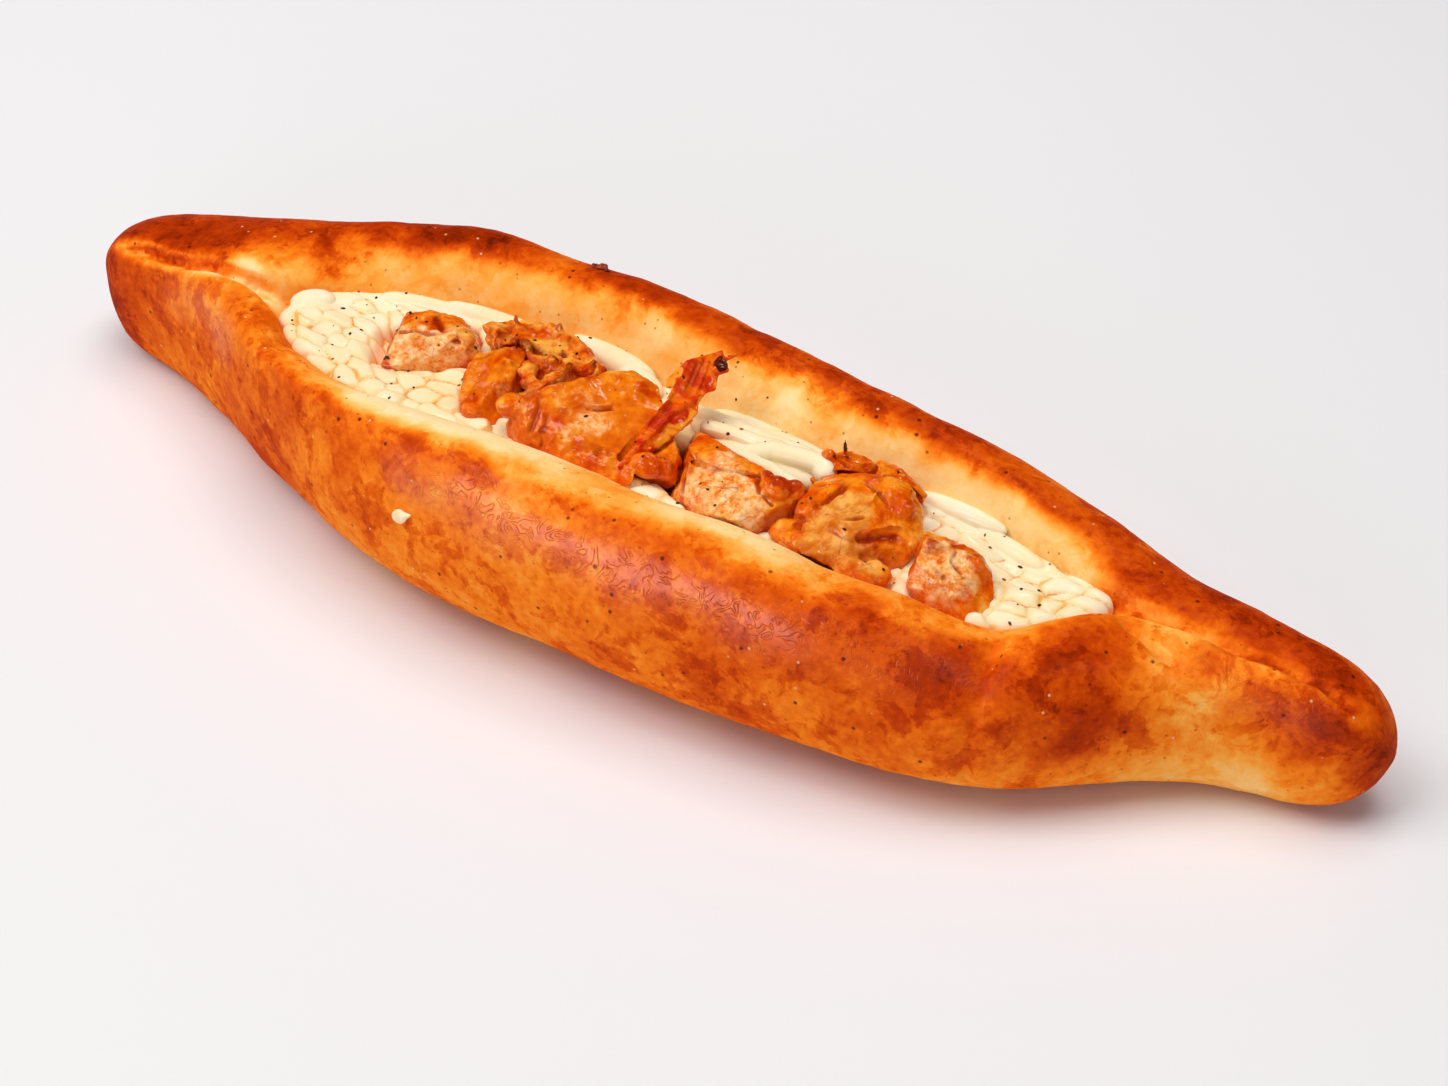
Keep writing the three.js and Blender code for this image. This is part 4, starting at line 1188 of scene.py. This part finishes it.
# Ropes and ribs of the strip: line and radius, then line, width, depth and how dark red
PEPPER_ROPES = [
    (
        [
            (5, 1.4, 36.3), (3.5, -0.6, 35.6), (2.5, -2.3, 34.8), (1.8, -4.1, 33.9), (1.1, -5.9, 32.9),
            (0, -9, 31.3),
        ],
        0.7,
    ),
    ([(6.2, 7.7, 40.2), (6.9, 8.5, 40.5), (7.6, 9.4, 40.8)], 0.4),
]
PEPPER_RIBS = [
    ([(4.5, 5.8, 40.4), (4.7, 3.4, 38.3), (4.5, 0.8, 36.3)], 0.35, -0.35, 0),
    ([(3.1, 4.5, 40.2), (3, 2.9, 39), (3.4, 1, 37.1)], 0.35, 0.4, 0.6),
    ([(1.7, 1.3, 38.4), (1.7, 0, 37.4), (1.2, -1, 36.8)], 0.35, -0.35, 0),
    ([(3.9, 5.6, 40.6), (3.9, 3.2, 38.8), (3.9, 1, 36.8)], 0.3, 0.35, 0.4),
]

# Strokes of amber flesh and of char on the strip: x, y, z, radius, amount
PEPPER_AMBER = [
    (0.2, 1.2, 37.9, 1.1, 1.3), (1.1, 3, 39.2, 0.9, 1.1), (6.7, 4.6, 37.4, 0.8, 1.1),
    (5.7, 1.8, 35.9, 0.8, 1.1), (5.5, -0.4, 34.2, 1, 1.2), (4.8, -2.2, 33.1, 1.2, 1.2),
    (3, -3.6, 33.2, 1, 0.8), (2.6, -5.5, 31.5, 1.4, 0.9),
]
PEPPER_CHAR = [
    (6.4, 6.6, 39.7, 1.15, 1.6), (6.2, 7.6, 40.5, 0.7, 1), (1.6, -0.6, 36.6, 0.7, 0.5),
    (0, -10, 31.5, 2, 0.3),
]


def make_pepper():
    strip = copy_of("pepper_strip", "roasted_pepper")
    slice_off(strip, [PEPPER_CUT])
    remesh(strip, ROUGH_GRID)
    press(strip, "thin", np.ones(len(strip.data.vertices)), -0.3)
    parts = [strip, flap("sheet", PEPPER_SHEET, 0.9)]
    parts += [flap("flap", PEPPER_FLAP, 0.7), flap("tip", PEPPER_TIP, 0.7)]
    parts.append(copies("ropes", ball(12, 8), strand(PEPPER_ROPES)))
    strip = join(parts, "roasted_pepper")
    remesh(strip, PEPPER_GRID)
    relax(strip, 3)
    tint = fold_tint(strip, PEPPER_RIBS)
    crease(strip, PEPPER_RIBS)
    store(strip, "fold", tint)
    displace(strip, creased("pepper_creases", 1.3, 1), 0.2)
    places = wander(spots(strip), 2.5, 0.4)
    store(strip, "flesh", dabs(places, PEPPER_AMBER))
    store(strip, "char", dabs(places, PEPPER_CHAR))
    store(strip, "hollow", hollows(strip, 12))
    dress(strip, pepper_finish(), "pepper", "pepper_strip")
    return strip


# The sesame seed and the crumbs on the crust

# The seed's half sizes, and how its nose is drawn in: from where, how far back and by how much
SEED_SIZE = (2.1, 1.25, 0.62)
SEED_NOSE = 1.2
SEED_TAPER = 1.8
SEED_POINT = (1, 0.4, 0.7)
SEED_PLACE = (-28.6, -31.9, 22.6)
SEED_FACING = (-0.15, -0.97, 0.2)
SEED_TURN = 28

# Loose crumbs: x, y, z, three radii, a compass turn and the rise of the long axis
CRUMBS = [
    (-27.8, 26.2, 35.4, 1.3, 0.7, 0.5, 20, 15), (-29.2, 26.4, 35, 0.7, 0.5, 0.4, 60, 0),
    (-26.3, 25.8, 35.4, 0.5, 0.4, 0.4, 0, 0), (118, 7.6, 17, 1, 0.6, 0.4, 60, 30),
    (119.4, 5.2, 14.6, 0.9, 0.5, 0.4, 80, 40),
]
CRUMB_GRID = 0.16


def seed_finish():
    seed = Finish("sesame")
    colour = seed.ramp(seed.grain(1.2, 3), [(0.35, (250, 206, 140)), (0.65, (255, 236, 196))])
    return seed.done(Base_Color=colour, Roughness=0.4, Normal=seed.bump(seed.grain(0.5, 2), 0.04))


def make_seed():
    """A ball drawn out to a drop and laid flat on the crust."""
    bpy.ops.mesh.primitive_uv_sphere_add(segments=24, ring_count=14, radius=MM)
    seed = bpy.context.active_object
    seed.name = "sesame_seed"
    edit_all(seed)
    bpy.ops.transform.resize(value=SEED_SIZE)
    bpy.ops.mesh.select_all(action="DESELECT")
    close_edit()
    for vertex in seed.data.vertices:
        vertex.select = vertex.co.x > SEED_NOSE * MM
    bpy.ops.object.mode_set(mode="EDIT")
    bpy.ops.transform.resize(
        value=SEED_POINT,
        use_proportional_edit=True,
        proportional_edit_falloff="SMOOTH",
        proportional_size=SEED_TAPER * MM,
    )
    close_edit()
    lying = Vector(SEED_FACING).to_track_quat("Z", "Y").to_matrix()
    seed.rotation_euler = (lying @ Matrix.Rotation(math.radians(SEED_TURN), 3, "Z")).to_euler()
    seed.location = Vector(SEED_PLACE) * MM
    pick(seed)
    bpy.ops.object.transform_apply(location=True, rotation=True, scale=True)
    dress(seed, seed_finish(), "crust")


def crumb_finish():
    crumb = Finish("dark_crumb")
    colour = crumb.ramp(crumb.grain(0.8, 3), [(0.4, (92, 26, 8)), (0.65, (168, 60, 12))])
    return crumb.done(Base_Color=colour, Roughness=0.5, Normal=crumb.bump(crumb.grain(0.5, 2), 0.1))


def make_crumbs():
    crumbs = copies("crumbs", ball(12, 8), lumps(CRUMBS))
    remesh(crumbs, CRUMB_GRID)
    displace(crumbs, creased("crumb_edges", 0.7, 1), 0.4)
    dress(crumbs, crumb_finish(), "crust")


# Ground pepper

SPECK_SEED = 23
SPECK_COUNT = 140
SPECK_SIZE = (0.1, 0.3)
SPECK_SHARE_ON_BREAD = 0.12

# How far the flakes fell along the bread and across it, and how much a face must look up to hold one
SPECK_ALONG = (-70, 68)
SPECK_ACROSS = (-16, 18)
SPECK_LEAST_UP = 0.35


def speck_finish():
    pepper = Finish("ground_pepper")
    flakes = [(0.42, (30, 12, 8)), (0.56, (84, 32, 14)), (0.64, (196, 62, 8))]
    colour = pepper.ramp(pepper.grain(6, 2), flakes)
    return pepper.done(Base_Color=colour, Roughness=0.45, Normal=pepper.bump(pepper.grain(0.4, 2), 0.1))


def make_specks(filling, bread):
    """Flakes dropped on the filling, and a few on the bread, each lying flat on what it meets first."""
    draw = random.Random(SPECK_SEED)
    placements = []
    while len(placements) < SPECK_COUNT:
        x = draw.uniform(*SPECK_ALONG)
        y = draw.uniform(*SPECK_ACROSS)
        tops = [(top_of(piece, x, y), piece) for piece in filling + [bread]]
        tops = [(*top, piece) for top, piece in tops if top]
        if not tops:
            continue
        height, facing, piece = max(tops, key=lambda top: top[0])
        if facing.z < SPECK_LEAST_UP or (piece == bread and draw.random() > SPECK_SHARE_ON_BREAD):
            continue
        size = draw.uniform(*SPECK_SIZE)
        scale = (size * draw.uniform(0.9, 1.7), size * draw.uniform(0.7, 1), size * 0.55)
        spin = Euler((0, 0, draw.uniform(0, 6.28))).to_matrix()
        turn = facing.to_track_quat("Z", "Y").to_matrix() @ spin
        placements.append((scale, draw.uniform(-0.3, 0.3), turn, Vector((x, y, height + 0.08))))
    specks = copies("ground_pepper", ball(7, 5), placements)
    dress(specks, speck_finish(), "chicken")


# Camera, light and floor

AZIMUTH = 30.03
ELEVATION = 39
CAMERA_TARGET = (13.27, -4.466, 15)
CAMERA_DISTANCE = 505.6
LENS = 80


def place_camera():
    turn, rise = math.radians(AZIMUTH), math.radians(ELEVATION)
    back = Vector((math.sin(turn) * math.cos(rise), -math.cos(turn) * math.cos(rise), math.sin(rise)))
    place = Vector(CAMERA_TARGET) * MM + back * CAMERA_DISTANCE * MM
    bpy.ops.object.camera_add(location=place, rotation=(-back).to_track_quat("-Z", "Y").to_euler())
    camera = bpy.context.active_object
    camera.data.lens = LENS
    camera.data.sensor_width = 36
    camera.data.clip_start = 10 * MM
    bpy.context.scene.camera = camera


def place_lamp(name, place, size, power, lights=True, shines=True):
    """A square soft box turned to the bread. It can leave out its plain light or its highlights."""
    turn = Vector(place).to_track_quat("Z", "Y").to_euler()
    bpy.ops.object.light_add(type="AREA", location=Vector(place) * MM, rotation=turn)
    lamp = bpy.context.active_object
    lamp.name = name
    lamp.data.size = size * MM
    lamp.data.energy = power
    lamp.visible_diffuse = lights
    lamp.visible_glossy = shines


def light_scene():
    place_lamp("key", (-600, -480, 1300), 900, 10.8, shines=False)
    place_lamp("overhead", (20, 240, 1700), 1100, 15.6, shines=False)
    place_lamp("front", (400, -1600, 300), 1000, 7.0, shines=False)
    place_lamp("sheen", (-545, -1210, 480), 700, 8.0, lights=False)
    place_lamp("left_sheen", (-1300, -500, 420), 700, 2.5, lights=False)
    place_lamp("left_spark", (-560, -520, 1300), 140, 1.1, lights=False)
    place_lamp("right_spark", (900, -500, 1100), 140, 1.4, lights=False)
    place_lamp("back_spark", (-200, 900, 1200), 140, 1.0, lights=False)
    world = bpy.data.worlds.new("studio")
    world.use_nodes = True
    sky = world.node_tree.nodes["Background"]
    sky.inputs["Color"].default_value = (1, 0.99, 0.98, 1)
    sky.inputs["Strength"].default_value = 0.2
    bpy.context.scene.world = world
    world.cycles_visibility.glossy = False
    bpy.context.scene.view_settings.view_transform = "Standard"


def lay_floor():
    bpy.ops.mesh.primitive_plane_add(size=6)
    floor = bpy.context.active_object
    floor.name = "floor"
    pale = Finish("pale_floor")
    away = pale.stretched((0, 0, -60), (2, 1, 1))
    depth = pale.add("ShaderNodeTexGradient", {"Vector": away}).outputs["Fac"]
    # Painted shade: the floor darkens gradually in one slanting direction across it
    tone = pale.ramp(depth, [(0.1, (236, 234, 235)), (0.6, (220, 220, 223))])
    floor.data.materials.append(pale.done(Base_Color=tone, Roughness=0.8))


place_camera()
light_scene()
lay_floor()
bread = make_bread()
chicken = chicken_finish()
filling = [make_chicken(node, chicken) for node in MEAT]
filling += [make_onion(), make_pepper(), make_cheese()]
make_specks(filling, bread)
make_seed()
make_crumbs()
